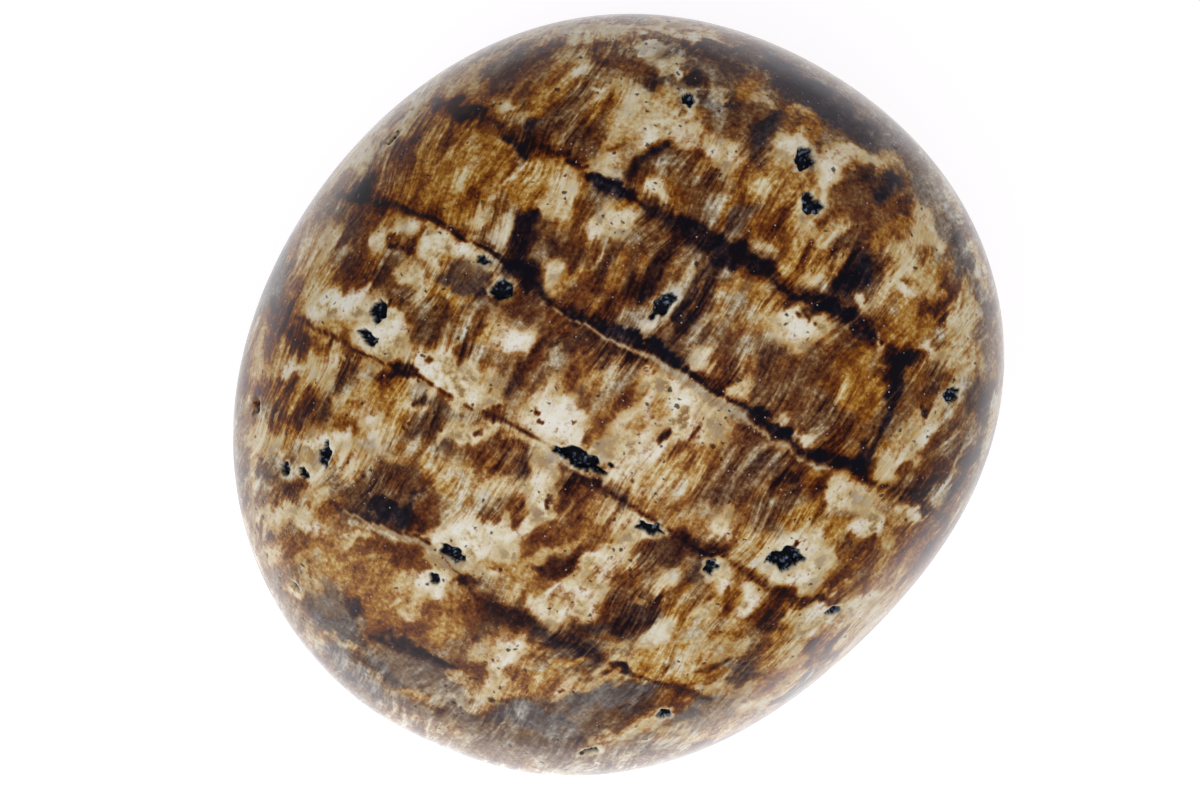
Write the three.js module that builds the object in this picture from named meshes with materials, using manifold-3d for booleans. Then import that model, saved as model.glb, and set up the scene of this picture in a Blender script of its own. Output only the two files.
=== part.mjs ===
// A tumbled pebble of banded, fibrous stone: one natural piece, lying on its flatter side.
// Millimetres, +Z up. The origin is under the middle of the stone's box, on the surface that it
// lies on. Bearings are degrees counter-clockwise from +X, elevations are degrees above the
// widest level, both seen from the middle of the stone.
import * as THREE from 'three';
import { mergeVertices } from 'three/addons/utils/BufferGeometryUtils.js';
import Module from 'manifold-3d';

// The outline, seen from above: a circle drawn out to an oval, with an egg's blunt end and four
// faint corners. Each lobe has its share of the radius and the bearing that it points to.
const MEAN_RADIUS = 21.05;
const LOBES = [
  { order: 2, share: 0.057, bearing: 44 },
  { order: 3, share: 0.012, bearing: 2 },
  { order: 4, share: 0.007, bearing: 3 },
];

// The height: crown and belly meet at the widest level. A squareness of 2 is an ellipse. The
// crown leans to one side by a share of its height, and the lean comes in over its lowest part.
const CROWN_HEIGHT = 13.0;
const CROWN_SQUARENESS = { mean: 2.15, change: 0.25, bearing: 30 };
const CROWN_LEAN = { share: 0.14, bearing: 40, ease: 5.0 };
const BELLY_DEPTH = 11.0;
const BELLY_SQUARENESS = 2.6;
const RESTING_CUT = 0.12;

// Broad places that the rolling wore flatter. A negative depth is a place that stayed proud.
const RUBBED_PLACES = [
  { bearing: 244, elevation: 0, reach: 10, depth: 0.20 },
  { bearing: 62, elevation: 26, reach: 24, depth: 0.55 },
  { bearing: 236, elevation: 34, reach: 30, depth: 0.75 },
  { bearing: 172, elevation: 30, reach: 24, depth: 0.30 },
  { bearing: 318, elevation: 24, reach: 26, depth: 0.35 },
  { bearing: 110, elevation: 62, reach: 22, depth: 0.18 },
  { bearing: 20, elevation: 58, reach: 20, depth: -0.12 },
  { bearing: 40, elevation: -30, reach: 30, depth: 0.45 },
  { bearing: 150, elevation: -34, reach: 26, depth: 0.35 },
  { bearing: 265, elevation: -28, reach: 28, depth: 0.50 },
  { bearing: 330, elevation: -42, reach: 24, depth: 0.25 },
];

// Open pits where crystals lined small hollows. x and y are their places in plan, turn is the
// bearing of the longer way across.
const CROWN_PITS = [
  { x: -12.8, y: 4.5, long: 1.3, wide: 0.95, depth: 0.70, turn: 100 },
  { x: -13.4, y: 3.0, long: 1.5, wide: 0.65, depth: 0.50, turn: 145 },
  { x: -12.1, y: 14.1, long: 1.5, wide: 0.45, depth: 0.45, turn: 45 },
  { x: -6.2, y: 5.6, long: 1.3, wide: 1.15, depth: 0.60, turn: 30 },
  { x: -7.2, y: 7.2, long: 0.9, wide: 0.55, depth: 0.40, turn: 150 },
  { x: 3.8, y: 15.8, long: 0.9, wide: 0.75, depth: 0.45, turn: 80 },
  { x: 9.9, y: 12.7, long: 1.6, wide: 0.95, depth: 0.70, turn: 75 },
  { x: 10.3, y: 10.2, long: 1.4, wide: 1.0, depth: 0.50, turn: 120 },
  { x: 2.3, y: 4.8, long: 1.7, wide: 0.8, depth: 0.45, turn: 55 },
  { x: 18.0, y: 0.0, long: 1.1, wide: 0.8, depth: 0.40, turn: 10 },
  { x: -1.8, y: -3.5, long: 2.8, wide: 0.95, depth: 0.75, turn: 158 },
  { x: -15.8, y: -3.2, long: 1.6, wide: 0.8, depth: 0.60, turn: 75 },
  { x: -18.0, y: -4.0, long: 0.9, wide: 0.7, depth: 0.45, turn: 160 },
  { x: -17.1, y: -4.2, long: 0.9, wide: 0.6, depth: 0.40, turn: 150 },
  { x: -19.8, y: -0.7, long: 0.9, wide: 0.6, depth: 0.40, turn: 60 },
  { x: -8.8, y: -8.5, long: 1.4, wide: 0.9, depth: 0.55, turn: 150 },
  { x: -9.8, y: -9.9, long: 0.8, wide: 0.65, depth: 0.40, turn: 100 },
  { x: 1.7, y: -7.1, long: 1.5, wide: 0.6, depth: 0.50, turn: 165 },
  { x: 9.1, y: -8.6, long: 1.9, wide: 1.4, depth: 0.85, turn: 20 },
  { x: 11.7, y: -11.6, long: 1.0, wide: 0.6, depth: 0.40, turn: 170 },
  { x: 4.9, y: -9.1, long: 0.9, wide: 0.75, depth: 0.45, turn: 60 },
  { x: 2.5, y: -17.3, long: 0.9, wide: 0.7, depth: 0.40, turn: 60 },
  { x: -17.7, y: -10.5, long: 1.0, wide: 0.7, depth: 0.40, turn: 160 },
  { x: -19.5, y: -8.9, long: 1.0, wide: 0.6, depth: 0.35, turn: 70 },
  { x: -1.6, y: -19.5, long: 1.1, wide: 0.6, depth: 0.40, turn: 40 },
];
const BELLY_PITS = [
  { x: 9.0, y: 9.5, long: 1.7, wide: 0.9, depth: 0.60, turn: 150 },
  { x: -7.5, y: 11.0, long: 1.2, wide: 0.8, depth: 0.50, turn: 40 },
  { x: -13.5, y: 2.0, long: 1.5, wide: 0.7, depth: 0.50, turn: 60 },
  { x: -9.0, y: -8.0, long: 1.0, wide: 0.8, depth: 0.45, turn: 110 },
  { x: 2.5, y: -12.5, long: 1.9, wide: 0.8, depth: 0.60, turn: 160 },
  { x: 12.5, y: -6.0, long: 1.2, wide: 0.95, depth: 0.55, turn: 30 },
  { x: 15.5, y: 4.0, long: 0.9, wide: 0.6, depth: 0.40, turn: 70 },
  { x: -3.0, y: 7.5, long: 0.9, wide: 0.6, depth: 0.40, turn: 20 },
];

// Fineness of the faceted skin, and of the cutter for each pit.
const SKIN_DETAIL = 16;
const PIT_DETAIL = 1;
const PIT_RIM_LIFT = 0.3;
const PIT_RAGGEDNESS = 0.16;

const radians = THREE.MathUtils.degToRad;

function directionAt(bearing, elevation) {
  const across = Math.cos(radians(elevation));
  return new THREE.Vector3(
    across * Math.cos(radians(bearing)),
    across * Math.sin(radians(bearing)),
    Math.sin(radians(elevation)),
  );
}

const rubs = RUBBED_PLACES.map((place) => ({
  ...place,
  towards: directionAt(place.bearing, place.elevation),
}));

// The worn skin in one direction from the middle of the widest level.
function skinPoint(towards) {
  const bearing = Math.atan2(towards.y, towards.x);
  const flat = Math.hypot(towards.x, towards.y);
  const crown = towards.z > 0;
  const turn = Math.cos(bearing - radians(CROWN_SQUARENESS.bearing));
  const squareness = crown
    ? CROWN_SQUARENESS.mean + CROWN_SQUARENESS.change * flat * turn
    : BELLY_SQUARENESS;
  const scale = (flat ** squareness + Math.abs(towards.z) ** squareness) ** (-1 / squareness);
  const out = flat * scale;
  let radius = MEAN_RADIUS * out;
  let lobes = 1;
  for (const lobe of LOBES) {
    lobes += lobe.share * out ** lobe.order * Math.cos(lobe.order * (bearing - radians(lobe.bearing)));
  }
  radius *= lobes;
  const point = new THREE.Vector3(
    radius * Math.cos(bearing),
    radius * Math.sin(bearing),
    (crown ? CROWN_HEIGHT : BELLY_DEPTH) * towards.z * scale,
  );
  for (const rub of rubs) {
    const away = THREE.MathUtils.radToDeg(Math.acos(THREE.MathUtils.clamp(towards.dot(rub.towards), -1, 1)));
    point.addScaledVector(towards, -rub.depth * Math.exp(-((away / rub.reach) ** 2)));
  }
  const up = Math.max(point.z, 0);
  const lean = (CROWN_LEAN.share * up * up) / (up + CROWN_LEAN.ease);
  point.x += lean * Math.cos(radians(CROWN_LEAN.bearing));
  point.y += lean * Math.sin(radians(CROWN_LEAN.bearing));
  return point;
}

// A ball of even triangles with its shared corners merged, which manifold-3d needs.
function evenBall(detail) {
  const ball = new THREE.IcosahedronGeometry(1, detail);
  ball.deleteAttribute('normal');
  ball.deleteAttribute('uv');
  return mergeVertices(ball, 1e-4);
}

function eachCorner(geometry, change) {
  const corners = geometry.getAttribute('position');
  const corner = new THREE.Vector3();
  for (let i = 0; i < corners.count; i += 1) {
    corner.fromBufferAttribute(corners, i);
    const moved = change(corner);
    corners.setXYZ(i, moved.x, moved.y, moved.z);
  }
  return geometry;
}

// The skin without its pits, set down so that the middle of its box is over the origin and its
// lowest part reaches RESTING_CUT below it.
const skin = eachCorner(evenBall(SKIN_DETAIL), (corner) => skinPoint(corner.normalize()));
skin.computeBoundingBox();
const middle = skin.boundingBox.getCenter(new THREE.Vector3());
const setDown = new THREE.Vector3(-middle.x, -middle.y, -(skin.boundingBox.min.z + RESTING_CUT));
skin.translate(setDown.x, setDown.y, setDown.z);

// The place of the skin above or below one point of the plan, and the direction that leads there.
function skinAbovePlan(x, y, side) {
  const aim = new THREE.Vector3(x - setDown.x, y - setDown.y, side * CROWN_HEIGHT).normalize();
  let place = skinPoint(aim);
  for (let step = 0; step < 40; step += 1) {
    aim.x += (x - setDown.x - place.x) / (2 * MEAN_RADIUS);
    aim.y += (y - setDown.y - place.y) / (2 * MEAN_RADIUS);
    aim.normalize();
    place = skinPoint(aim);
  }
  return { aim, place: place.add(setDown) };
}

function skinNormal(aim) {
  const step = 0.01;
  const side = new THREE.Vector3(-aim.y, aim.x, 0).normalize();
  const up = new THREE.Vector3().crossVectors(aim, side);
  const here = skinPoint(aim);
  const along = skinPoint(aim.clone().addScaledVector(side, step).normalize()).sub(here);
  const rise = skinPoint(aim.clone().addScaledVector(up, step).normalize()).sub(here);
  return along.cross(rise).normalize();
}

// A ragged little ball, sunk into the skin, that cuts one pit.
function pitCutter(pit, side, index) {
  const { aim, place } = skinAbovePlan(pit.x, pit.y, side);
  const normal = skinNormal(aim);
  const alongPlan = new THREE.Vector3(Math.cos(radians(pit.turn)), Math.sin(radians(pit.turn)), 0);
  const along = alongPlan.addScaledVector(normal, -alongPlan.dot(normal)).normalize();
  const across = new THREE.Vector3().crossVectors(normal, along);
  const turned = new THREE.Matrix4().makeBasis(along, across, normal);
  const sunk = pit.depth * (1 + PIT_RIM_LIFT);
  const cutter = eachCorner(evenBall(PIT_DETAIL), (corner) => {
    const round = Math.atan2(corner.y, corner.x);
    const ragged = 1 + PIT_RAGGEDNESS * Math.sin(3 * round + 1.7 * index) * Math.cos(2 * round - index);
    return corner.set(
      (corner.x * ragged * pit.long) / 2,
      (corner.y * ragged * pit.wide) / 2,
      corner.z * sunk,
    );
  });
  cutter.applyMatrix4(turned);
  const centre = place.addScaledVector(normal, pit.depth * PIT_RIM_LIFT);
  cutter.translate(centre.x, centre.y, centre.z);
  return cutter;
}

const wasm = await Module();
wasm.setup();

function toSolid(geometry) {
  return new wasm.Manifold(new wasm.Mesh({
    numProp: 3,
    vertProperties: new Float32Array(geometry.getAttribute('position').array),
    triVerts: new Uint32Array(geometry.index.array),
  }));
}

function toGeometry(solid) {
  const mesh = solid.getMesh();
  const geometry = new THREE.BufferGeometry();
  geometry.setAttribute('position', new THREE.BufferAttribute(new Float32Array(mesh.vertProperties), 3));
  geometry.setIndex(new THREE.BufferAttribute(new Uint32Array(mesh.triVerts), 1));
  geometry.computeVertexNormals();
  return geometry;
}

// The level ground takes the lowest skin off flat, which is the small face that the stone rests on.
function groundBlock() {
  const width = 4 * MEAN_RADIUS;
  const block = new THREE.BoxGeometry(width, width, BELLY_DEPTH);
  block.deleteAttribute('normal');
  block.deleteAttribute('uv');
  block.translate(0, 0, -BELLY_DEPTH / 2);
  return mergeVertices(block, 1e-4);
}

function makePebble() {
  let stone = toSolid(skin).subtract(toSolid(groundBlock()));
  CROWN_PITS.forEach((pit, index) => {
    stone = stone.subtract(toSolid(pitCutter(pit, 1, index)));
  });
  BELLY_PITS.forEach((pit, index) => {
    stone = stone.subtract(toSolid(pitCutter(pit, -1, index + CROWN_PITS.length)));
  });
  const polished = new THREE.MeshStandardMaterial({ color: 0x9a6b34, roughness: 0.28, metalness: 0 });
  const pebble = new THREE.Mesh(toGeometry(stone), polished);
  pebble.name = 'pebble';
  return pebble;
}

const object = new THREE.Group();
object.add(makePebble());

export default object;
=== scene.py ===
import itertools
import math

import bpy
import numpy as np
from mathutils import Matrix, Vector


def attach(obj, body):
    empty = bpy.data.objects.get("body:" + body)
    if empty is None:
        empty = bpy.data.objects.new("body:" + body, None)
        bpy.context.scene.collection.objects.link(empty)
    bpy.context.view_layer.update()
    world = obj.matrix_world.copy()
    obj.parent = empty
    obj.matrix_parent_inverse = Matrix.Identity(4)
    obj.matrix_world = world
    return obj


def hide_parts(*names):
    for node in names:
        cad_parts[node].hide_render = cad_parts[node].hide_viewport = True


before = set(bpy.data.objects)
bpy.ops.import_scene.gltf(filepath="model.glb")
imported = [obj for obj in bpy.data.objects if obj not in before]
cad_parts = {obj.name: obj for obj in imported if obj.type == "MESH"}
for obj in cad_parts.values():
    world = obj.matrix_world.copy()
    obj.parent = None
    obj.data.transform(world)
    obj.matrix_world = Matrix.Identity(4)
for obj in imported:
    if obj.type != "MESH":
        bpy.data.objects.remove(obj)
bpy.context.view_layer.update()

MM = 0.001


# The view. A camera with a long lens looks straight down on the stone. One pixel of the picture is
# 0.0554 mm at the stone's widest level, and the stone lies a little right of the middle and above it.
PICTURE_WIDTH, PICTURE_HEIGHT = 1200, 797
MM_PER_PIXEL = 0.0554
STONE_RIGHT, STONE_UP = 17.5, 3.5
LENS, SENSOR = 150.0, 36.0
WIDEST_LEVEL = 10.86
FOCAL_PIXELS = PICTURE_WIDTH * LENS / SENSOR
EYE_PLACE = np.array([
    -STONE_RIGHT * MM_PER_PIXEL,
    -STONE_UP * MM_PER_PIXEL,
    WIDEST_LEVEL + FOCAL_PIXELS * MM_PER_PIXEL,
])

eye = bpy.data.cameras.new("camera")
eye.lens, eye.sensor_width = LENS, SENSOR
eye.clip_start = 0.01
camera = bpy.data.objects.new("camera", eye)
bpy.context.collection.objects.link(camera)
camera.location = Vector(EYE_PLACE * MM)
bpy.context.scene.camera = camera


def seen_at(skin):
    """Where points in millimetres show in the picture, in pixels from its upper left corner."""
    away = EYE_PLACE[2] - skin[:, 2]
    right = PICTURE_WIDTH / 2 + FOCAL_PIXELS * (skin[:, 0] - EYE_PLACE[0]) / away
    down = PICTURE_HEIGHT / 2 - FOCAL_PIXELS * (skin[:, 1] - EYE_PLACE[1]) / away
    return right, down


# The worn form of the stone. Rolling wore one lump of banded stone to a lopsided oval pebble:
# a crown that leans a little to one side, a flatter belly, and broad places rubbed flatter still.
# Bearings are degrees counter-clockwise from +X, elevations are above the widest level.
MEAN_RADIUS = 21.05
LOBES = ((2, 0.057, 44), (3, 0.012, 2), (4, 0.007, 3))
CROWN_HEIGHT = 13.0
CROWN_SQUARENESS, SQUARENESS_CHANGE, SQUAREST_BEARING = 2.15, 0.25, 30
LEAN, LEAN_BEARING, LEAN_EASE = 0.14, 40, 5.0
BELLY_DEPTH, BELLY_SQUARENESS = 11.0, 2.6
RESTING_CUT = 0.12
RUBBED_PLACES = (
    # bearing, elevation, reach in degrees, depth in millimetres
    (244, 0, 10, 0.20),
    (62, 26, 24, 0.55),
    (236, 34, 30, 0.75),
    (172, 30, 24, 0.30),
    (318, 24, 26, 0.35),
    (110, 62, 22, 0.18),
    (20, 58, 20, -0.12),
    (40, -30, 30, 0.45),
    (150, -34, 26, 0.35),
    (265, -28, 28, 0.50),
    (330, -42, 24, 0.25),
)


def towards(bearing, elevation):
    """The unit direction of a bearing and an elevation."""
    b, e = math.radians(bearing), math.radians(elevation)
    return np.array([math.cos(e) * math.cos(b), math.cos(e) * math.sin(b), math.sin(e)])


def unit(rows):
    """Each row brought to length 1."""
    return rows / np.linalg.norm(rows, axis=-1, keepdims=True)


def worn_skin(aims):
    """The skin, in millimetres, along unit directions from the middle of the widest level."""
    bearing = np.arctan2(aims[:, 1], aims[:, 0])
    flat = np.hypot(aims[:, 0], aims[:, 1])
    crown = aims[:, 2] > 0
    change = SQUARENESS_CHANGE * flat * np.cos(bearing - math.radians(SQUAREST_BEARING))
    squareness = np.where(crown, CROWN_SQUARENESS + change, BELLY_SQUARENESS)
    scale = (flat ** squareness + np.abs(aims[:, 2]) ** squareness) ** (-1 / squareness)
    out = flat * scale
    lobes = 1.0
    for order, share, at in LOBES:
        lobes = lobes + share * out ** order * np.cos(order * (bearing - math.radians(at)))
    radius = MEAN_RADIUS * out * lobes
    height = np.where(crown, CROWN_HEIGHT, BELLY_DEPTH) * aims[:, 2] * scale
    skin = np.stack([radius * np.cos(bearing), radius * np.sin(bearing), height], axis=1)
    for at, elevation, reach, depth in RUBBED_PLACES:
        away = np.degrees(np.arccos(np.clip(aims @ towards(at, elevation), -1, 1)))
        skin -= aims * (depth * np.exp(-(away / reach) ** 2))[:, None]
    up = np.maximum(skin[:, 2], 0)
    lean = LEAN * up * up / (up + LEAN_EASE)
    skin[:, 0] += lean * math.cos(math.radians(LEAN_BEARING))
    skin[:, 1] += lean * math.sin(math.radians(LEAN_BEARING))
    return skin


bpy.ops.object.select_all(action="DESELECT")
bpy.ops.mesh.primitive_ico_sphere_add(subdivisions=7, radius=1.0)
stone = bpy.context.object
stone.name = "tumbled_stone"


def corners():
    """The places of the stone's corners, one row each."""
    places = np.empty(len(stone.data.vertices) * 3)
    stone.data.vertices.foreach_get("co", places)
    return places.reshape(-1, 3)


def refine(wanted):
    """Cuts the faces whose middles are wanted into four, and rounds the new corners on to the ball."""
    middles = np.empty(len(stone.data.polygons) * 3)
    stone.data.polygons.foreach_get("center", middles)
    chosen = wanted(unit(middles.reshape(-1, 3)))
    bpy.ops.object.mode_set(mode="EDIT")
    bpy.ops.mesh.select_mode(type="FACE")
    bpy.ops.mesh.select_all(action="DESELECT")
    bpy.ops.object.mode_set(mode="OBJECT")
    stone.data.polygons.foreach_set("select", chosen)
    bpy.ops.object.mode_set(mode="EDIT")
    bpy.ops.mesh.subdivide(number_cuts=1)
    bpy.ops.mesh.select_all(action="SELECT")
    bpy.ops.mesh.quads_convert_to_tris()
    bpy.ops.object.mode_set(mode="OBJECT")
    stone.data.vertices.foreach_set("co", unit(corners()).ravel())
    stone.data.update()


whole_skin = worn_skin(unit(corners()))
low, high = whole_skin.min(axis=0), whole_skin.max(axis=0)
set_down = np.array([-(low[0] + high[0]) / 2, -(low[1] + high[1]) / 2, -(low[2] + RESTING_CUT)])

# the crown is what shows most, so it is finer
FINE_ABOVE = 0.36
refine(lambda aims: aims[:, 2] > FINE_ABOVE)


# The pits. Crystals once lined small hollows in the stone, and the polishing opened them. They are
# ragged, steep-sided and dark, with glinting floors. x and y are their places in plan, in
# millimetres, and turn is the bearing of the longer way across.
CROWN_PITS = (
    # x, y, long, wide, depth, turn
    (-12.8, 4.5, 1.3, 0.95, 0.70, 100), (-13.4, 3.0, 1.5, 0.65, 0.50, 145),
    (-12.1, 14.1, 1.5, 0.45, 0.45, 45), (-6.2, 5.6, 1.3, 1.15, 0.60, 30),
    (-7.2, 7.2, 0.9, 0.55, 0.40, 150), (3.8, 15.8, 0.9, 0.75, 0.45, 80),
    (9.9, 12.7, 1.6, 0.95, 0.70, 75), (10.3, 10.2, 1.4, 1.0, 0.50, 120),
    (2.3, 4.8, 1.7, 0.8, 0.45, 55), (18.0, 0.0, 1.1, 0.8, 0.40, 10),
    (-1.8, -3.5, 2.8, 0.95, 0.75, 158), (-15.8, -3.2, 1.6, 0.8, 0.60, 75),
    (-18.0, -4.0, 0.9, 0.7, 0.45, 160), (-17.1, -4.2, 0.9, 0.6, 0.40, 150),
    (-19.8, -0.7, 0.9, 0.6, 0.40, 60), (-8.8, -8.5, 1.4, 0.9, 0.55, 150),
    (-9.8, -9.9, 0.8, 0.65, 0.40, 100), (1.7, -7.1, 1.5, 0.6, 0.50, 165),
    (9.1, -8.6, 1.9, 1.4, 0.85, 20), (11.7, -11.6, 1.0, 0.6, 0.40, 170),
    (4.9, -9.1, 0.9, 0.75, 0.45, 60), (2.5, -17.3, 0.9, 0.7, 0.40, 60),
    (-17.7, -10.5, 0.6, 0.35, 0.32, 150), (-19.5, -8.9, 0.5, 0.3, 0.28, 70),
    (-1.6, -19.5, 1.1, 0.6, 0.40, 40),
)
BELLY_PITS = (
    (9.0, 9.5, 1.7, 0.9, 0.60, 150), (-7.5, 11.0, 1.2, 0.8, 0.50, 40),
    (-13.5, 2.0, 1.5, 0.7, 0.50, 60), (-9.0, -8.0, 1.0, 0.8, 0.45, 110),
    (2.5, -12.5, 1.9, 0.8, 0.60, 160), (12.5, -6.0, 1.2, 0.95, 0.55, 30),
    (15.5, 4.0, 0.9, 0.6, 0.40, 70), (-3.0, 7.5, 0.9, 0.6, 0.40, 20),
)
PIT_RAGGEDNESS = 0.22
FINE_ROUND_PIT = 0.35
# where a pit's wall and its pale ring start and end, as shares of half its width
WALL_OUT, WALL_IN = 1.08, 0.62
RING_OUT, RING_IN = 1.9, 1.2
# share of the width or depth, size in millimetres, seed
PIT_EDGE_LUMPS = ((0.34, 0.42, 11), (0.22, 0.19, 12))
CRYSTAL_SHARE, CRYSTAL_SIZE, CRYSTAL_SEED = 0.32, 0.16, 13
# how deep the skin lies where it starts to look like a pit, and where it fully does
PIT_FROM, PIT_TO = 0.02, 0.16
PIT_FIRMNESS = 1.35
# how far from its middle a pit is worked out, as a share of its length
PIT_REACH = 1.5
AIMING_STEPS = 40

pits = np.array(CROWN_PITS + BELLY_PITS)
pit_side = np.array([1.0] * len(CROWN_PITS) + [-1.0] * len(BELLY_PITS))


def aims_at(plan, side):
    """The directions that lead to places of the plan, on the crown where side is 1, or the belly."""
    goal = plan - set_down[:2]
    aims = unit(np.column_stack([goal, side * CROWN_HEIGHT]))
    for step in range(AIMING_STEPS):
        aims[:, :2] += (goal - worn_skin(aims)[:, :2]) / (2 * MEAN_RADIUS)
        aims = unit(aims)
    return aims


def skin_normals(aims):
    """The outward normals of the worn skin, from two short steps along it."""
    step = 0.004
    never_nothing = [1e-9, 0, 0]
    side = unit(np.cross([0.0, 0.0, 1.0], aims) + never_nothing)
    up = np.cross(aims, side)
    here = worn_skin(aims)
    sideways = worn_skin(unit(aims + step * side)) - here
    upwards = worn_skin(unit(aims + step * up)) - here
    return unit(np.cross(sideways, upwards))


pit_aims = aims_at(pits[:, :2], pit_side)
pit_places = worn_skin(pit_aims) + set_down
pit_normals = skin_normals(pit_aims)


def near_a_pit(aims):
    """Which directions lead into a pit or close round one."""
    places = worn_skin(aims) + set_down
    near = np.zeros(len(aims), dtype=bool)
    for centre, pit in zip(pit_places, pits):
        near |= np.linalg.norm(places - centre, axis=1) < pit[2] / 2 + FINE_ROUND_PIT
    return near


refine(near_a_pit)


# how many heights the lumps are drawn from
LUMPS = 1024


def lumpy(places, size, seed):
    """Smooth noise from -1 to 1 at places in millimetres, with lumps of the given size."""
    chance = np.random.default_rng(seed)
    heights = chance.uniform(-1, 1, LUMPS)
    shuffle = chance.permutation(LUMPS)
    cells = np.floor(places / size).astype(int)
    part = places / size - cells
    part = part * part * (3 - 2 * part)
    total = np.zeros(len(places))
    for corner in itertools.product((0, 1), repeat=3):
        x, y, z = (cells + corner).T
        mixed = shuffle[(x + shuffle[(y + shuffle[z % LUMPS]) % LUMPS]) % LUMPS]
        total += heights[mixed] * np.prod(np.where(corner, part, 1 - part), axis=1)
    return total


def layered(places, layers):
    """Lumps of several sizes together, each layer given as its share, size and seed."""
    return sum(share * lumpy(places, size, seed) for share, size, seed in layers)


def eased(values, start, end):
    """Rises smoothly from 0 at start to 1 at end."""
    part = np.clip((values - start) / (end - start), 0, 1)
    return part * part * (3 - 2 * part)


def run_and_side(lengthways, normal):
    """Two directions along the skin: the given one laid down on it, and the one square to that."""
    along = unit(lengthways - normal * (lengthways @ normal))
    return along, np.cross(normal, along)


aims = unit(corners())
skin = worn_skin(aims) + set_down
normals = skin_normals(aims)
ragged = layered(skin, PIT_EDGE_LUMPS)
crystals = 0.5 + 0.5 * lumpy(skin, CRYSTAL_SIZE, CRYSTAL_SEED)
pit_depth = np.zeros(len(skin))
pit_ring = np.zeros(len(skin))
for index, (centre, normal, pit) in enumerate(zip(pit_places, pit_normals, pits)):
    x, y, long, wide, depth, turn = pit
    along, across = run_and_side(towards(turn, 0), normal)
    near = np.flatnonzero(np.linalg.norm(skin - centre, axis=1) < PIT_REACH * long)
    u = (skin[near] - centre) @ along / (long / 2)
    v = (skin[near] - centre) @ across / (wide / 2)
    angle = np.arctan2(v, u)
    edge = 1 + PIT_RAGGEDNESS * np.sin(3 * angle + 1.7 * index) * np.cos(2 * angle - index)
    away = np.hypot(u, v) / edge + ragged[near]
    floor = 1 - CRYSTAL_SHARE + CRYSTAL_SHARE * crystals[near]
    pit_depth[near] = np.maximum(pit_depth[near], depth * floor * eased(away, WALL_OUT, WALL_IN))
    pit_ring[near] = np.maximum(pit_ring[near], eased(away, RING_OUT, RING_IN))
in_pit = eased(pit_depth, PIT_FROM, PIT_TO)
skin -= normals * pit_depth[:, None]
skin[:, 2] = np.maximum(skin[:, 2], 0)
stone.data.vertices.foreach_set("co", (skin * MM).ravel())
stone.data.update()
bpy.ops.object.shade_smooth()
face_corners = np.empty(len(stone.data.polygons) * 3, dtype=int)
stone.data.polygons.foreach_get("vertices", face_corners)
face_corners = face_corners.reshape(-1, 3)
stone.data.polygons.foreach_set("use_smooth", in_pit[face_corners].mean(axis=1) < 0.5)


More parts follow.
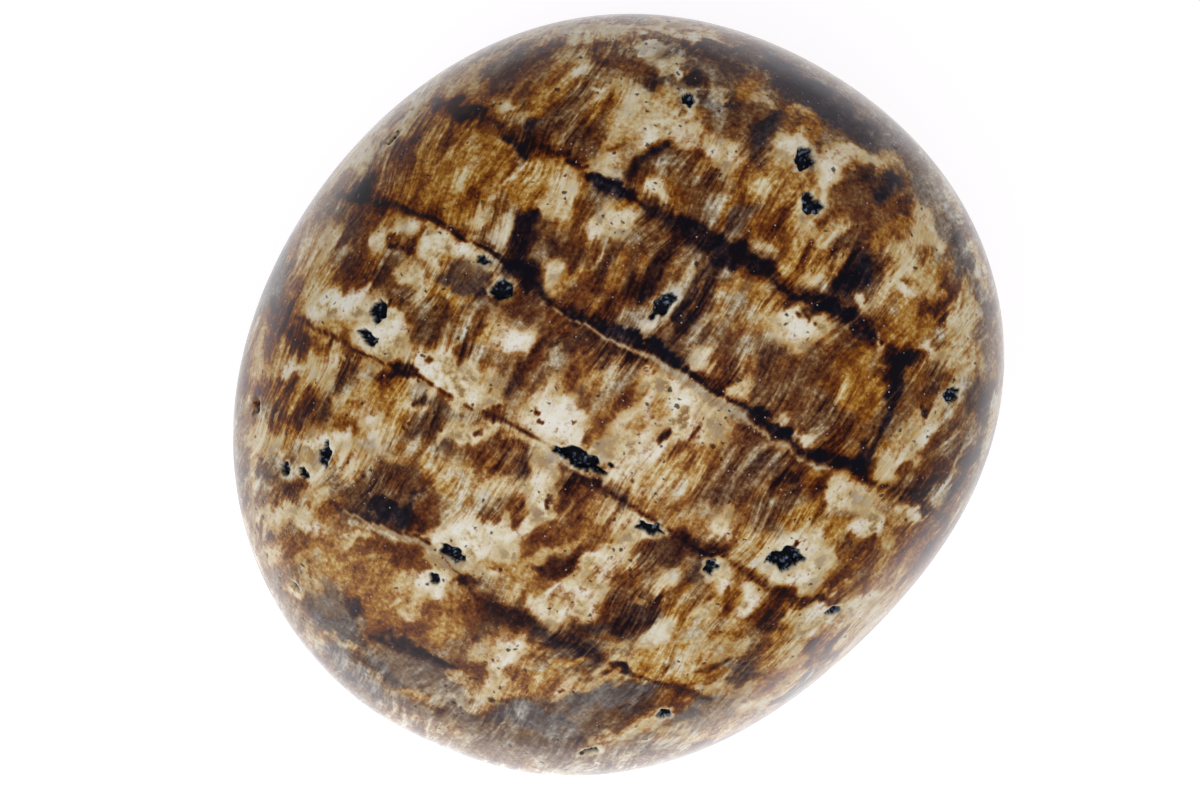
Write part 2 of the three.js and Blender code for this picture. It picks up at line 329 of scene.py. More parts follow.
# The marks. Mineral-bearing water stained the stone in blocks between dark seams, along its fibres
# and in chalky patches. Each mark was placed where it shows in the picture, in pixels, and
# is an oval with soft ragged edges. Later marks lie over earlier ones, so kinds come more than once.
# Not all marks are stains. The dove, slate and dusk marks along the rim are painted reflection, the lilac,
# grey and bluish haze that the polish mirrors there. Many smoke marks along the rim are painted reflection
# too, while those inside the rim and on the far sides are grey stains.
MARKS = (
    # kind, then x, y, length, width, bearing of the length, in the order they are laid
    ("ochre ground", (
        (440, 170, 150, 110, 57), (600, 125, 110, 60, 45), (690, 300, 110, 110, 57),
        (820, 395, 130, 110, 57), (700, 495, 110, 60, 57), (380, 575, 110, 70, -20),
        (450, 645, 90, 60, -20), (605, 610, 110, 50, 50), (760, 650, 60, 50, 40),
        (930, 450, 110, 50, 57), (590, 290, 100, 60, 57), (590, 365, 110, 40, 57),
        (300, 400, 80, 60, 62), (870, 225, 90, 70, 50), (720, 625, 80, 60, 45), (750, 130, 90, 60, 45),
        (770, 200, 80, 80, 57), (540, 80, 110, 50, 35), (340, 260, 70, 90, 65), (285, 335, 60, 60, 70),
        (500, 200, 80, 60, 57), (750, 505, 70, 60, 57), (880, 565, 80, 50, 50), (430, 315, 70, 70, 57),
        (620, 710, 160, 40, 8), (870, 95, 60, 40, -40), (450, 710, 110, 50, -15),
        (300, 560, 60, 50, -30),
    )),
    ("chalk", (
        (345, 307, 56, 34, 12), (385, 335, 52, 58, 60), (450, 250, 90, 34, -32), (440, 365, 52, 40, 57),
        (475, 388, 70, 40, -20), (545, 407, 60, 40, 40), (580, 438, 60, 24, -15), (640, 462, 60, 70, 60),
        (665, 395, 60, 40, -20), (700, 420, 70, 50, 20), (800, 330, 50, 44, 50), (795, 562, 66, 62, 57),
        (460, 545, 62, 56, 40), (425, 595, 70, 34, 57), (305, 523, 40, 26, -10), (325, 440, 40, 60, 70),
        (362, 470, 40, 34, 57), (372, 430, 40, 40, 60), (250, 560, 24, 80, -75), (262, 440, 30, 50, 80),
        (350, 400, 50, 30, 60), (325, 370, 60, 24, 66), (292, 370, 34, 26, 60), (545, 500, 34, 50, 80),
        (600, 512, 24, 24, 60), (505, 545, 40, 26, 20), (615, 568, 60, 44, 50), (562, 605, 60, 30, 20),
        (632, 530, 34, 34, 40), (715, 585, 56, 18, -18), (742, 604, 24, 28, 60), (812, 615, 36, 40, 50),
        (868, 528, 34, 36, 55), (852, 492, 64, 28, -8), (895, 470, 34, 46, 70), (925, 425, 100, 18, 57),
        (930, 225, 48, 46, 60), (835, 175, 44, 40, 30), (850, 156, 70, 18, -12), (788, 150, 24, 44, 75),
        (797, 137, 30, 16, 0), (812, 228, 40, 26, -50), (620, 112, 60, 40, 40), (662, 130, 60, 30, 15),
        (712, 152, 60, 26, -30), (675, 72, 34, 16, -20), (685, 116, 24, 14, 0), (650, 48, 26, 14, -20),
        (575, 76, 34, 10, 30), (606, 90, 26, 12, 10), (600, 158, 34, 14, 10), (555, 187, 58, 44, 57),
        (560, 278, 34, 34, 57), (512, 338, 44, 26, -20), (612, 225, 60, 34, 57), (662, 192, 44, 20, -15),
        (705, 362, 30, 26, 40), (786, 421, 18, 20, 60), (940, 353, 14, 18, 80), (862, 303, 12, 12, 0),
        (912, 290, 16, 14, 0), (886, 334, 18, 34, -75), (408, 276, 28, 30, 50), (345, 165, 60, 18, 55),
        (330, 245, 46, 22, 66), (370, 255, 44, 18, 62), (580, 690, 46, 18, 10), (605, 742, 60, 18, 5),
        (662, 716, 26, 20, 20), (500, 665, 60, 28, 65), (720, 690, 34, 20, 20), (750, 694, 34, 18, 15),
        (660, 635, 60, 20, 40), (612, 650, 26, 10, 0), (500, 30, 90, 18, 22), (590, 27, 90, 14, 0),
        (680, 30, 90, 12, -8), (260, 520, 24, 50, -80), (835, 590, 20, 14, 50), (735, 520, 34, 60, 70),
        (510, 100, 40, 10, 57), (405, 222, 22, 12, 0), (480, 222, 18, 18, 50), (355, 352, 14, 30, 80),
    )),
    ("cream", (
        (415, 110, 90, 14, 52), (350, 140, 90, 14, 50), (480, 75, 90, 14, 38), (300, 225, 60, 14, 62),
        (255, 360, 50, 12, 75), (330, 345, 60, 20, 70), (440, 290, 60, 14, -35), (465, 430, 50, 20, -20),
        (400, 450, 110, 20, -32), (450, 470, 70, 16, -32), (500, 490, 40, 24, 0), (700, 640, 70, 34, 30),
        (690, 375, 110, 11, -27), (775, 320, 60, 36, 57), (760, 550, 50, 34, 60), (765, 185, 44, 34, 40),
        (895, 270, 60, 16, 60), (965, 350, 80, 20, 78), (960, 300, 20, 24, 60), (905, 258, 24, 30, 60),
        (840, 230, 34, 12, 60), (525, 430, 70, 16, -22), (350, 545, 40, 30, 0), (388, 588, 30, 26, 0),
        (665, 592, 30, 22, 57), (530, 655, 44, 30, 20), (610, 678, 60, 16, -8), (450, 692, 90, 24, -14),
        (330, 655, 60, 10, -34), (850, 655, 90, 16, 38), (880, 600, 70, 16, 50), (760, 705, 90, 14, 18),
        (700, 735, 110, 12, 15), (740, 395, 26, 20, 30), (600, 380, 34, 20, 57), (820, 272, 30, 28, 60),
        (770, 105, 44, 12, -20), (720, 100, 60, 14, -30), (570, 62, 50, 18, 10), (320, 492, 24, 24, 0),
        (705, 325, 44, 20, 57), (820, 560, 22, 60, 75), (300, 660, 110, 16, -55),
        (420, 720, 110, 20, -28), (275, 600, 80, 16, -65), (480, 650, 30, 24, 60),
        (980, 270, 60, 10, -70), (985, 440, 80, 10, 68), (940, 530, 70, 10, 52),
    )),
    ("amber", (
        (545, 92, 74, 18, 40), (527, 176, 74, 14, 57), (500, 567, 54, 15, 5), (555, 540, 90, 18, 30),
        (600, 548, 50, 9, 35), (655, 655, 42, 20, 32), (905, 328, 24, 44, 88), (802, 252, 50, 32, 62),
        (335, 326, 56, 12, -8), (397, 408, 44, 20, 65), (665, 403, 26, 14, 0), (635, 414, 28, 20, 40),
        (680, 455, 38, 18, 60), (655, 108, 34, 7, -14), (745, 90, 26, 24, 60), (745, 167, 60, 10, 58),
        (320, 288, 60, 20, 62), (447, 150, 54, 10, 56), (485, 330, 18, 30, 70), (580, 378, 44, 14, 60),
        (597, 427, 50, 14, 58), (730, 600, 54, 20, 20), (690, 677, 54, 18, 8), (800, 514, 34, 24, 20),
        (826, 540, 22, 20, 50), (835, 625, 22, 13, 0), (776, 676, 40, 16, 42), (760, 640, 46, 18, 40),
        (640, 270, 50, 14, 60), (930, 275, 34, 26, 60), (870, 395, 60, 22, 57), (850, 368, 60, 24, 57),
        (730, 212, 50, 14, 50), (258, 385, 16, 36, -78), (285, 388, 20, 12, 0), (545, 677, 70, 8, 6),
        (330, 510, 34, 16, 30), (690, 510, 60, 30, 57), (720, 300, 60, 20, 57), (300, 262, 60, 12, 65),
        (640, 505, 44, 16, -35), (500, 80, 60, 10, 35), (885, 240, 30, 18, 50), (600, 100, 30, 14, 45),
        (775, 275, 40, 16, 20), (560, 325, 40, 16, -20), (745, 568, 34, 9, -5), (700, 470, 40, 26, 50),
        (780, 625, 50, 14, 25), (452, 620, 40, 24, 20), (540, 345, 40, 12, 57), (620, 205, 30, 10, -20),
        (925, 545, 50, 14, 48), (415, 480, 60, 14, 57),
    )),
    ("brown", (
        (425, 146, 70, 14, 52), (395, 190, 70, 30, 57), (450, 195, 60, 24, 57), (500, 172, 50, 22, 57),
        (570, 108, 70, 22, 42), (600, 130, 50, 40, 45), (570, 228, 60, 28, 52), (590, 290, 80, 52, 57),
        (600, 345, 70, 22, -14), (630, 355, 40, 18, -10), (548, 330, 40, 18, -30),
        (525, 370, 74, 17, 60), (562, 385, 60, 12, 60), (612, 408, 62, 14, 50), (650, 384, 50, 12, 42),
        (577, 496, 50, 44, 80), (503, 450, 40, 44, 80), (385, 388, 54, 20, 57), (352, 368, 34, 50, -15),
        (275, 332, 34, 60, 80), (300, 405, 60, 44, 60), (345, 427, 26, 14, 0), (430, 325, 60, 40, 57),
        (430, 500, 60, 22, 57), (480, 456, 28, 40, 60), (500, 518, 40, 12, 0), (415, 560, 48, 28, -40),
        (380, 545, 40, 16, -10), (370, 580, 60, 30, -10), (385, 620, 50, 34, -20),
        (420, 615, 34, 24, 40), (480, 612, 34, 30, 40), (465, 668, 44, 20, -20), (525, 592, 34, 20, 45),
        (605, 600, 90, 34, 50), (655, 555, 60, 36, 15), (690, 580, 60, 40, 50), (715, 650, 74, 26, 45),
        (590, 645, 50, 14, -25), (520, 692, 44, 20, 10), (765, 590, 50, 20, -10), (775, 610, 74, 24, 30),
        (865, 567, 60, 28, 47), (845, 552, 30, 14, 50), (905, 532, 54, 18, 42), (820, 652, 52, 20, 36),
        (750, 510, 50, 34, 57), (930, 465, 100, 30, 57), (935, 386, 44, 20, 50), (945, 306, 50, 34, 60),
        (870, 212, 60, 30, -30), (900, 228, 34, 22, 40), (852, 180, 40, 28, 50), (850, 252, 60, 30, 55),
        (775, 215, 60, 26, 60), (700, 172, 110, 20, -22), (730, 185, 60, 18, 15),
        (690, 160, 50, 18, -20), (640, 165, 80, 24, 50), (650, 76, 50, 22, -25), (630, 46, 60, 12, -8),
        (715, 60, 74, 26, -28), (665, 86, 20, 24, 80), (700, 122, 24, 26, 60), (760, 135, 50, 34, 45),
        (805, 122, 34, 30, 50), (795, 92, 44, 22, -20), (740, 130, 40, 20, 30), (520, 84, 60, 22, 30),
        (520, 70, 60, 18, 35), (365, 220, 60, 30, 60), (345, 272, 40, 34, 64), (300, 345, 34, 40, 60),
        (655, 228, 60, 20, 60), (700, 250, 50, 20, 57), (760, 435, 70, 44, -25), (795, 480, 70, 26, -22),
        (810, 400, 110, 90, 57), (850, 440, 60, 40, 57), (730, 350, 60, 24, 50), (700, 505, 80, 30, 57),
        (905, 490, 50, 18, 10), (275, 503, 40, 16, 0), (300, 550, 34, 28, 0), (620, 715, 130, 20, 12),
        (400, 300, 26, 26, 0), (875, 320, 20, 34, 60), (885, 260, 26, 30, 50), (560, 520, 40, 20, 30),
        (640, 690, 120, 20, -10),
    )),
    ("umber", (
        (395, 168, 60, 22, 58), (470, 197, 22, 14, 60), (385, 276, 34, 14, 60), (365, 285, 26, 14, 0),
        (300, 340, 30, 34, -60), (403, 240, 40, 24, -10), (472, 335, 66, 12, 62), (325, 414, 44, 14, 60),
        (308, 400, 34, 14, 60), (515, 385, 30, 12, 60), (530, 360, 40, 10, 60), (560, 345, 50, 18, -10),
        (560, 250, 44, 22, -30), (295, 490, 26, 20, 0), (530, 470, 34, 24, 50), (495, 413, 24, 10, 0),
        (560, 570, 54, 24, 45), (585, 580, 22, 10, 50), (500, 618, 60, 22, 0), (640, 620, 74, 26, 45),
        (660, 552, 50, 24, 10), (695, 548, 56, 18, -12), (695, 590, 40, 26, 30), (715, 655, 44, 14, 45),
        (465, 580, 24, 10, -20), (775, 612, 50, 12, 32), (850, 590, 44, 14, 45), (865, 575, 40, 10, 50),
        (905, 532, 36, 9, 42), (825, 652, 36, 12, 38), (765, 130, 40, 22, 45), (850, 178, 34, 22, 50),
        (905, 206, 22, 16, 60), (855, 275, 60, 34, 57), (868, 240, 30, 14, 50), (775, 222, 46, 14, 62),
        (645, 160, 54, 16, 48), (605, 60, 46, 20, -5), (700, 50, 44, 14, -18), (650, 80, 30, 12, -25),
        (720, 62, 40, 10, -20), (705, 292, 80, 15, 52), (625, 292, 54, 14, 57), (610, 345, 60, 9, -14),
        (760, 358, 50, 20, 35), (735, 372, 34, 26, 30), (945, 306, 30, 20, 60), (925, 485, 40, 14, 30),
        (885, 376, 26, 24, 60), (830, 415, 34, 18, 57), (795, 485, 60, 12, -22), (700, 335, 34, 12, 50),
        (270, 315, 24, 10, 0), (355, 228, 50, 14, 62), (555, 640, 80, 16, -28), (357, 612, 34, 10, -58),
        (515, 300, 50, 26, -20), (600, 262, 50, 20, 57), (665, 215, 50, 12, -25),
        (560, 640, 60, 10, -28), (420, 530, 30, 14, 40), (540, 115, 50, 18, 35), (505, 84, 40, 12, 30),
        (930, 395, 30, 12, 50), (715, 385, 34, 10, -20), (845, 545, 20, 8, 50), (800, 596, 60, 10, 0),
        (735, 100, 26, 12, 0),
    )),
    ("smoke and reflection", (
        (388, 490, 80, 58, 57), (435, 413, 40, 32, 40), (430, 440, 60, 16, -34), (470, 278, 60, 44, -30),
        (430, 325, 50, 26, 57), (465, 715, 60, 18, -10), (520, 715, 60, 18, -8), (545, 745, 90, 20, -8),
        (575, 664, 50, 20, 0), (600, 712, 110, 14, 14), (790, 82, 90, 24, -38), (852, 118, 80, 32, -42),
        (905, 155, 60, 20, -50), (960, 250, 60, 14, -66), (980, 335, 60, 9, 82), (985, 402, 60, 12, 76),
        (742, 676, 40, 26, 30), (505, 68, 60, 18, 36), (725, 50, 60, 12, -20), (290, 250, 60, 12, 64),
        (295, 280, 44, 16, 66), (250, 475, 14, 50, 88), (575, 402, 30, 22, 50), (845, 290, 34, 20, 30),
        (850, 125, 34, 20, 50), (745, 215, 34, 24, 40), (785, 690, 34, 9, 50), (500, 735, 90, 16, -22),
        (390, 700, 60, 14, -30), (965, 470, 60, 10, 62),
    )),
    ("ink", (
        (471, 112, 34, 20, -10), (440, 107, 20, 4, 0), (368, 181, 26, 12, 62), (282, 300, 28, 9, 0),
        (526, 232, 52, 22, 72), (525, 272, 40, 20, -20), (606, 188, 44, 16, -28),
        (690, 230, 50, 16, -28), (732, 250, 54, 16, -22), (640, 340, 90, 14, -24),
        (664, 306, 36, 12, 52), (790, 308, 26, 12, 30), (835, 308, 70, 11, -26), (908, 358, 28, 14, -10),
        (780, 430, 60, 12, -35), (838, 462, 70, 9, -8), (860, 275, 40, 14, 57), (388, 513, 50, 16, -30),
        (410, 505, 40, 6, 57), (532, 128, 20, 14, 40), (700, 550, 30, 7, -12), (735, 108, 20, 8, 0),
        (770, 126, 16, 12, 60), (645, 625, 40, 7, 45), (620, 672, 24, 4, 8), (497, 292, 20, 16, 0),
    )),
    ("pale streak", (
        (467, 178, 44, 8, 56), (505, 186, 50, 6, 52), (648, 320, 34, 12, 48), (812, 440, 44, 11, 60),
        (505, 235, 50, 9, 62), (520, 114, 22, 9, 30), (590, 270, 30, 6, 57), (555, 350, 34, 6, 60),
        (845, 228, 26, 8, 50), (955, 460, 60, 5, 60), (935, 500, 40, 8, 55), (310, 300, 40, 8, 62),
        (345, 262, 40, 7, 66), (300, 380, 40, 7, 64), (660, 300, 20, 5, 55), (770, 445, 22, 9, 20),
        (720, 275, 50, 8, 55), (690, 275, 50, 7, 57), (880, 430, 50, 5, 57), (570, 575, 30, 4, 45),
        (850, 575, 40, 5, 50), (600, 250, 44, 6, 57), (770, 248, 16, 10, 0), (615, 200, 18, 8, -20),
        (745, 410, 30, 5, -30),
    )),
    ("olive", (
        (352, 368, 44, 30, 70), (415, 307, 50, 24, -20), (430, 328, 40, 26, 50), (432, 422, 38, 26, 60),
        (370, 485, 84, 46, 15), (588, 120, 70, 36, 50), (765, 517, 38, 26, 60), (853, 571, 60, 36, 50),
        (754, 648, 40, 28, 40), (717, 486, 60, 36, 57), (820, 412, 56, 36, 57), (924, 383, 34, 26, 45),
        (938, 447, 50, 26, 57), (651, 560, 28, 20, 40), (560, 660, 60, 20, -10),
    )),
    ("brown", (
        (356, 272, 56, 28, 57), (277, 334, 50, 24, 75), (550, 330, 36, 22, -30), (603, 348, 66, 24, -12),
        (597, 356, 30, 18, 40), (581, 492, 40, 36, 80), (852, 335, 60, 8, -28), (617, 603, 64, 38, 50),
        (670, 690, 110, 18, -6), (590, 720, 100, 26, -8), (609, 55, 46, 18, -20), (787, 102, 24, 16, 40),
        (853, 200, 50, 46, 57), (375, 216, 40, 16, -20), (684, 185, 52, 34, 57),
    )),
    ("rust", (
        (634, 67, 38, 24, -20), (507, 455, 48, 36, 75), (526, 373, 50, 14, 57), (570, 383, 28, 16, 62),
        (632, 390, 64, 9, 42), (595, 431, 34, 13, 57), (282, 390, 60, 20, -8), (294, 418, 40, 24, 55),
        (387, 386, 44, 24, 50), (783, 213, 54, 18, 60), (355, 550, 40, 15, 20), (410, 561, 30, 22, 30),
        (300, 546, 24, 20, 0), (420, 522, 44, 22, 45), (415, 622, 44, 24, 30), (474, 614, 34, 26, 60),
        (467, 670, 40, 9, -10), (550, 538, 58, 24, 25), (512, 512, 20, 17, 50), (586, 580, 24, 11, 45),
        (725, 599, 34, 15, 30), (715, 678, 50, 13, 5), (909, 545, 60, 34, 50), (774, 611, 50, 22, 30),
        (832, 598, 32, 10, -10), (779, 677, 34, 13, 40), (870, 469, 14, 12, 0), (677, 462, 26, 22, 60),
        (810, 480, 30, 22, 40), (787, 594, 48, 8, -8), (751, 573, 26, 7, -10), (681, 697, 40, 11, -12),
        (490, 414, 18, 9, 0), (342, 420, 50, 9, 57),
    )),
    ("smoke and reflection", (
        (462, 291, 50, 40, -20), (414, 675, 96, 32, -16), (325, 612, 50, 34, -60),
        (352, 638, 34, 22, -50), (562, 643, 70, 22, -25), (600, 630, 56, 16, -20),
        (700, 575, 34, 24, 60), (600, 735, 100, 16, 8), (743, 674, 24, 18, 40), (820, 97, 130, 34, -40),
        (978, 400, 44, 12, 85), (965, 470, 74, 12, 62), (905, 140, 60, 14, -48),
    )),
    ("slate reflection", (
        (282, 277, 46, 13, 72), (957, 268, 40, 20, -65), (345, 672, 44, 16, -48),
        (467, 718, 44, 18, -15), (520, 712, 34, 16, -10), (794, 690, 44, 13, 38),
        (300, 640, 70, 12, -55), (410, 705, 60, 10, -28),
    )),
    ("umber", (
        (376, 281, 28, 16, 40), (305, 340, 32, 16, 80), (331, 418, 44, 14, 50), (603, 345, 60, 12, -12),
        (596, 287, 24, 14, 45), (636, 622, 66, 18, 42), (560, 567, 34, 14, 30), (769, 617, 34, 13, 30),
        (823, 648, 44, 13, 38), (722, 656, 50, 15, 45), (905, 475, 24, 20, 50), (932, 307, 28, 22, 60),
        (506, 613, 52, 24, -28), (290, 490, 20, 15, 0), (525, 470, 26, 20, 50), (815, 145, 16, 14, 0),
        (761, 138, 34, 26, 50), (741, 112, 16, 14, 0), (581, 478, 40, 8, -20), (464, 580, 22, 9, -15),
        (688, 547, 50, 11, -5), (620, 352, 40, 8, -20), (649, 277, 54, 8, 58), (522, 146, 44, 16, -38),
        (567, 160, 40, 8, -15), (691, 308, 84, 9, 53),
    )),
    ("honey", (
        (315, 277, 50, 32, 62), (335, 327, 44, 9, -5), (446, 293, 60, 14, -35), (356, 400, 56, 30, 35),
        (378, 428, 60, 18, 10), (434, 455, 70, 24, -32), (450, 485, 56, 20, -32),
        (555, 285, 24, 12, -40), (686, 281, 50, 18, 55), (723, 303, 60, 20, 55), (601, 381, 24, 18, 57),
        (665, 474, 36, 26, 45), (758, 312, 56, 32, 57), (502, 564, 48, 11, 0), (690, 600, 54, 28, 35),
        (689, 621, 34, 15, 30), (752, 550, 42, 34, 60), (832, 529, 36, 30, 40), (797, 191, 50, 24, 57),
        (808, 243, 34, 22, 60), (639, 114, 80, 32, 30), (558, 187, 56, 44, 57), (307, 243, 44, 22, 62),
        (462, 176, 28, 16, 55), (328, 575, 36, 28, 20),
    )),
    ("amber", (
        (430, 145, 46, 22, 57), (530, 182, 40, 9, 75), (552, 95, 44, 18, 45), (395, 403, 44, 17, 62),
        (613, 275, 34, 16, 57), (577, 278, 18, 8, -20), (903, 322, 54, 20, 88), (914, 276, 20, 14, 60),
        (795, 271, 30, 13, 60), (860, 388, 50, 32, 57), (376, 602, 66, 48, -20), (595, 554, 38, 8, 45),
        (597, 531, 26, 9, 10), (586, 514, 18, 16, 60), (532, 583, 34, 14, 30), (649, 658, 32, 17, 15),
        (686, 642, 18, 8, 0), (798, 518, 32, 15, 30), (835, 624, 22, 9, 0), (446, 487, 22, 13, 20),
        (304, 456, 14, 10, 60), (278, 434, 40, 20, 10), (321, 518, 20, 12, 0), (780, 122, 22, 14, 60),
        (811, 125, 30, 22, 50), (748, 93, 22, 18, 60), (890, 232, 50, 17, 30), (638, 723, 22, 14, 30),
        (530, 688, 60, 12, 5), (700, 300, 40, 8, 57),
    )),
    ("cream", (
        (370, 148, 86, 13, 43), (420, 108, 46, 11, 30), (501, 276, 28, 6, -43), (506, 430, 54, 13, -5),
        (628, 490, 44, 13, -25), (858, 162, 72, 18, -12), (934, 222, 60, 40, 57), (893, 278, 48, 18, 62),
        (960, 320, 76, 20, 80), (903, 435, 88, 20, 50), (745, 378, 60, 17, 85), (811, 272, 24, 20, 60),
        (365, 372, 22, 14, 60), (316, 363, 38, 26, 60), (264, 359, 32, 14, 70), (314, 495, 32, 24, 0),
        (354, 461, 38, 34, 30), (390, 452, 40, 16, -30), (390, 530, 76, 6, -17), (665, 582, 32, 18, 40),
        (787, 654, 30, 26, 40), (800, 608, 24, 14, 0), (628, 522, 30, 22, 20), (697, 518, 42, 24, 57),
        (845, 480, 36, 24, 20), (888, 472, 26, 20, 60), (565, 35, 150, 20, -2), (620, 663, 48, 8, 15),
        (588, 686, 48, 16, 10), (636, 728, 60, 12, 20), (410, 697, 44, 14, -20), (475, 690, 26, 22, 20),
        (345, 660, 60, 7, -40), (365, 682, 50, 7, -35), (260, 436, 40, 28, 80),
    )),
    ("chalk", (
        (456, 246, 64, 24, -10), (334, 307, 50, 30, 0), (383, 338, 56, 46, 60), (435, 362, 34, 32, 20),
        (448, 385, 70, 32, -20), (420, 406, 22, 11, 0), (460, 436, 50, 13, 0), (316, 450, 58, 34, 75),
        (512, 338, 32, 13, -10), (556, 417, 56, 42, 30), (544, 478, 60, 24, 88), (636, 422, 54, 34, 30),
        (658, 380, 38, 24, -10), (684, 415, 50, 17, 80), (803, 327, 42, 38, 40), (777, 450, 20, 16, 0),
        (796, 560, 58, 50, 50), (867, 525, 32, 26, 30), (909, 515, 32, 11, 0), (748, 595, 34, 24, 60),
        (813, 631, 22, 13, 0), (865, 603, 36, 30, 40), (747, 698, 26, 16, 20), (459, 543, 56, 38, 10),
        (428, 584, 36, 26, 40), (530, 520, 30, 26, 60), (570, 598, 72, 42, 20), (722, 570, 40, 28, 10),
        (518, 650, 46, 9, 65), (252, 546, 50, 20, -78), (296, 589, 18, 13, 0),
    )),
    ("honey", (
        (662, 407, 28, 18, 30), (634, 424, 26, 18, 40),
    )),
    ("amber", (
        (561, 605, 30, 18, 20), (548, 590, 20, 9, 30), (450, 255, 12, 7, 30), (480, 372, 9, 7, 0),
        (436, 374, 8, 6, 0),
    )),
    ("ink", (
        (391, 136, 25, 8, 40), (360, 192, 24, 11, 40), (515, 145, 40, 10, -40), (565, 157, 42, 8, -22),
        (528, 226, 36, 15, 60), (611, 188, 54, 14, -20), (643, 155, 60, 8, 32), (691, 82, 18, 10, 20),
        (282, 303, 16, 8, 0), (404, 371, 24, 9, -20), (388, 512, 60, 16, -28), (532, 285, 28, 12, -30),
        (728, 262, 30, 10, -15), (640, 340, 90, 12, -25), (587, 320, 36, 8, -25), (853, 274, 54, 22, 55),
        (822, 308, 56, 11, -28), (864, 334, 44, 8, -27), (904, 359, 28, 14, -20), (894, 383, 50, 8, 64),
        (860, 450, 34, 8, 60), (760, 413, 22, 8, -25), (784, 433, 36, 10, -38), (831, 457, 64, 8, -15),
        (760, 268, 50, 16, -20), (806, 202, 16, 9, 40), (882, 186, 20, 12, 60), (804, 163, 22, 13, 80),
        (666, 434, 26, 8, 48), (696, 437, 14, 5, 30), (415, 650, 66, 8, -24), (357, 613, 16, 8, -50),
        (431, 358, 11, 8, 0), (535, 409, 5, 5, 0), (537, 422, 8, 7, 0), (617, 671, 26, 5, 8),
        (330, 346, 9, 5, 60), (408, 121, 7, 7, 0), (668, 70, 8, 4, 20), (423, 400, 9, 6, 30),
        (441, 434, 9, 4, 0), (474, 433, 8, 5, 0), (628, 480, 7, 4, 0), (636, 485, 6, 5, 0),
        (545, 498, 14, 7, 60), (618, 465, 14, 4, 10), (797, 545, 10, 5, 40), (803, 538, 8, 5, 30),
        (903, 503, 9, 4, 0), (925, 508, 12, 8, -30), (410, 607, 9, 6, 0), (277, 572, 11, 4, -70),
        (418, 714, 10, 4, 0), (435, 722, 9, 4, -30), (440, 707, 6, 4, 0), (487, 697, 8, 6, 0),
        (566, 693, 8, 4, 20), (602, 742, 10, 4, 0), (750, 696, 9, 4, 20), (925, 409, 11, 5, 55),
        (806, 313, 10, 7, 40), (799, 321, 8, 5, 30), (813, 322, 6, 5, 0), (264, 525, 8, 5, 80),
        (392, 310, 12, 4, 60),
    )),
    ("white", (
        (399, 238, 36, 16, 20), (465, 177, 44, 7, 57), (600, 170, 26, 12, -20), (506, 230, 26, 18, 60),
        (648, 47, 20, 9, 0), (645, 321, 24, 10, 52), (698, 364, 22, 18, 30), (858, 302, 14, 9, 50),
        (882, 335, 18, 8, 62), (906, 290, 13, 10, 0), (930, 351, 16, 8, 0), (782, 418, 14, 11, 0),
        (806, 439, 16, 12, 50), (410, 609, 34, 14, 50), (657, 634, 36, 13, 20), (793, 150, 34, 20, 50),
        (822, 188, 44, 13, 85), (575, 75, 16, 7, 30), (596, 88, 12, 8, 0), (676, 73, 28, 5, 10),
        (672, 105, 20, 5, 30), (932, 226, 12, 9, 0), (520, 713, 18, 10, 0), (594, 319, 4, 3, 0),
        (643, 339, 4, 3, 0), (395, 600, 24, 6, 60), (415, 596, 26, 6, 50),
    )),
    ("dove reflection", (
        (540, 735, 150, 36, 8), (650, 733, 110, 26, 14), (470, 722, 90, 30, -20),
        (400, 702, 90, 22, -32), (705, 714, 80, 20, 22), (330, 655, 70, 18, -52),
        (288, 604, 60, 18, -62), (262, 560, 50, 14, -72), (750, 695, 60, 12, 28), (560, 758, 120, 16, 2),
    )),
    ("slate reflection", (
        (335, 618, 80, 34, -58), (425, 680, 90, 22, -24), (868, 118, 120, 26, -42),
        (936, 205, 90, 20, -58), (800, 76, 80, 18, -32), (362, 682, 50, 16, -45),
        (520, 716, 50, 18, -10),
    )),
    ("amber", (
        (330, 546, 34, 20, 10), (372, 572, 40, 20, -10), (432, 612, 50, 22, -10), (914, 556, 78, 16, 50),
        (297, 283, 50, 13, 62), (262, 330, 50, 13, 75), (252, 372, 44, 10, 78), (415, 185, 60, 14, 55),
        (452, 150, 60, 12, 57), (524, 185, 50, 11, 60), (768, 178, 44, 24, 50), (800, 190, 30, 14, 70),
        (812, 248, 44, 24, 70), (660, 478, 36, 14, 40), (729, 676, 34, 12, 8), (690, 643, 16, 9, 20),
        (649, 659, 28, 14, 15), (773, 675, 40, 12, 50), (246, 410, 30, 9, 85), (545, 92, 60, 14, 42),
    )),
    ("gold", (
        (901, 318, 46, 15, 86), (662, 405, 26, 14, 25), (636, 422, 24, 13, 25), (672, 460, 40, 22, 45),
        (545, 180, 60, 13, 57), (400, 590, 40, 18, -20), (345, 560, 40, 12, 5), (445, 632, 40, 14, -10),
        (418, 600, 30, 12, 30), (790, 182, 26, 9, 50), (795, 214, 36, 12, 60), (500, 566, 40, 10, 5),
        (835, 625, 18, 11, 0), (640, 118, 60, 14, 30), (610, 100, 40, 12, 40),
    )),
    ("rust", (
        (430, 165, 80, 16, 55), (532, 366, 36, 12, 60), (567, 380, 26, 13, 62), (385, 545, 44, 16, -20),
        (681, 449, 24, 13, 50), (285, 412, 44, 16, 60), (280, 330, 40, 14, 75), (515, 512, 28, 16, 50),
    )),
    ("umber", (
        (517, 380, 34, 11, 62), (400, 244, 32, 16, -5), (352, 616, 14, 8, -50), (547, 565, 30, 10, 25),
        (300, 415, 30, 12, 60), (822, 653, 26, 12, 38), (288, 338, 30, 13, 80),
    )),
    ("olive", (
        (392, 172, 60, 22, 57), (560, 116, 70, 22, 50), (745, 677, 34, 22, 40), (425, 310, 40, 22, 60),
    )),
    ("cream", (
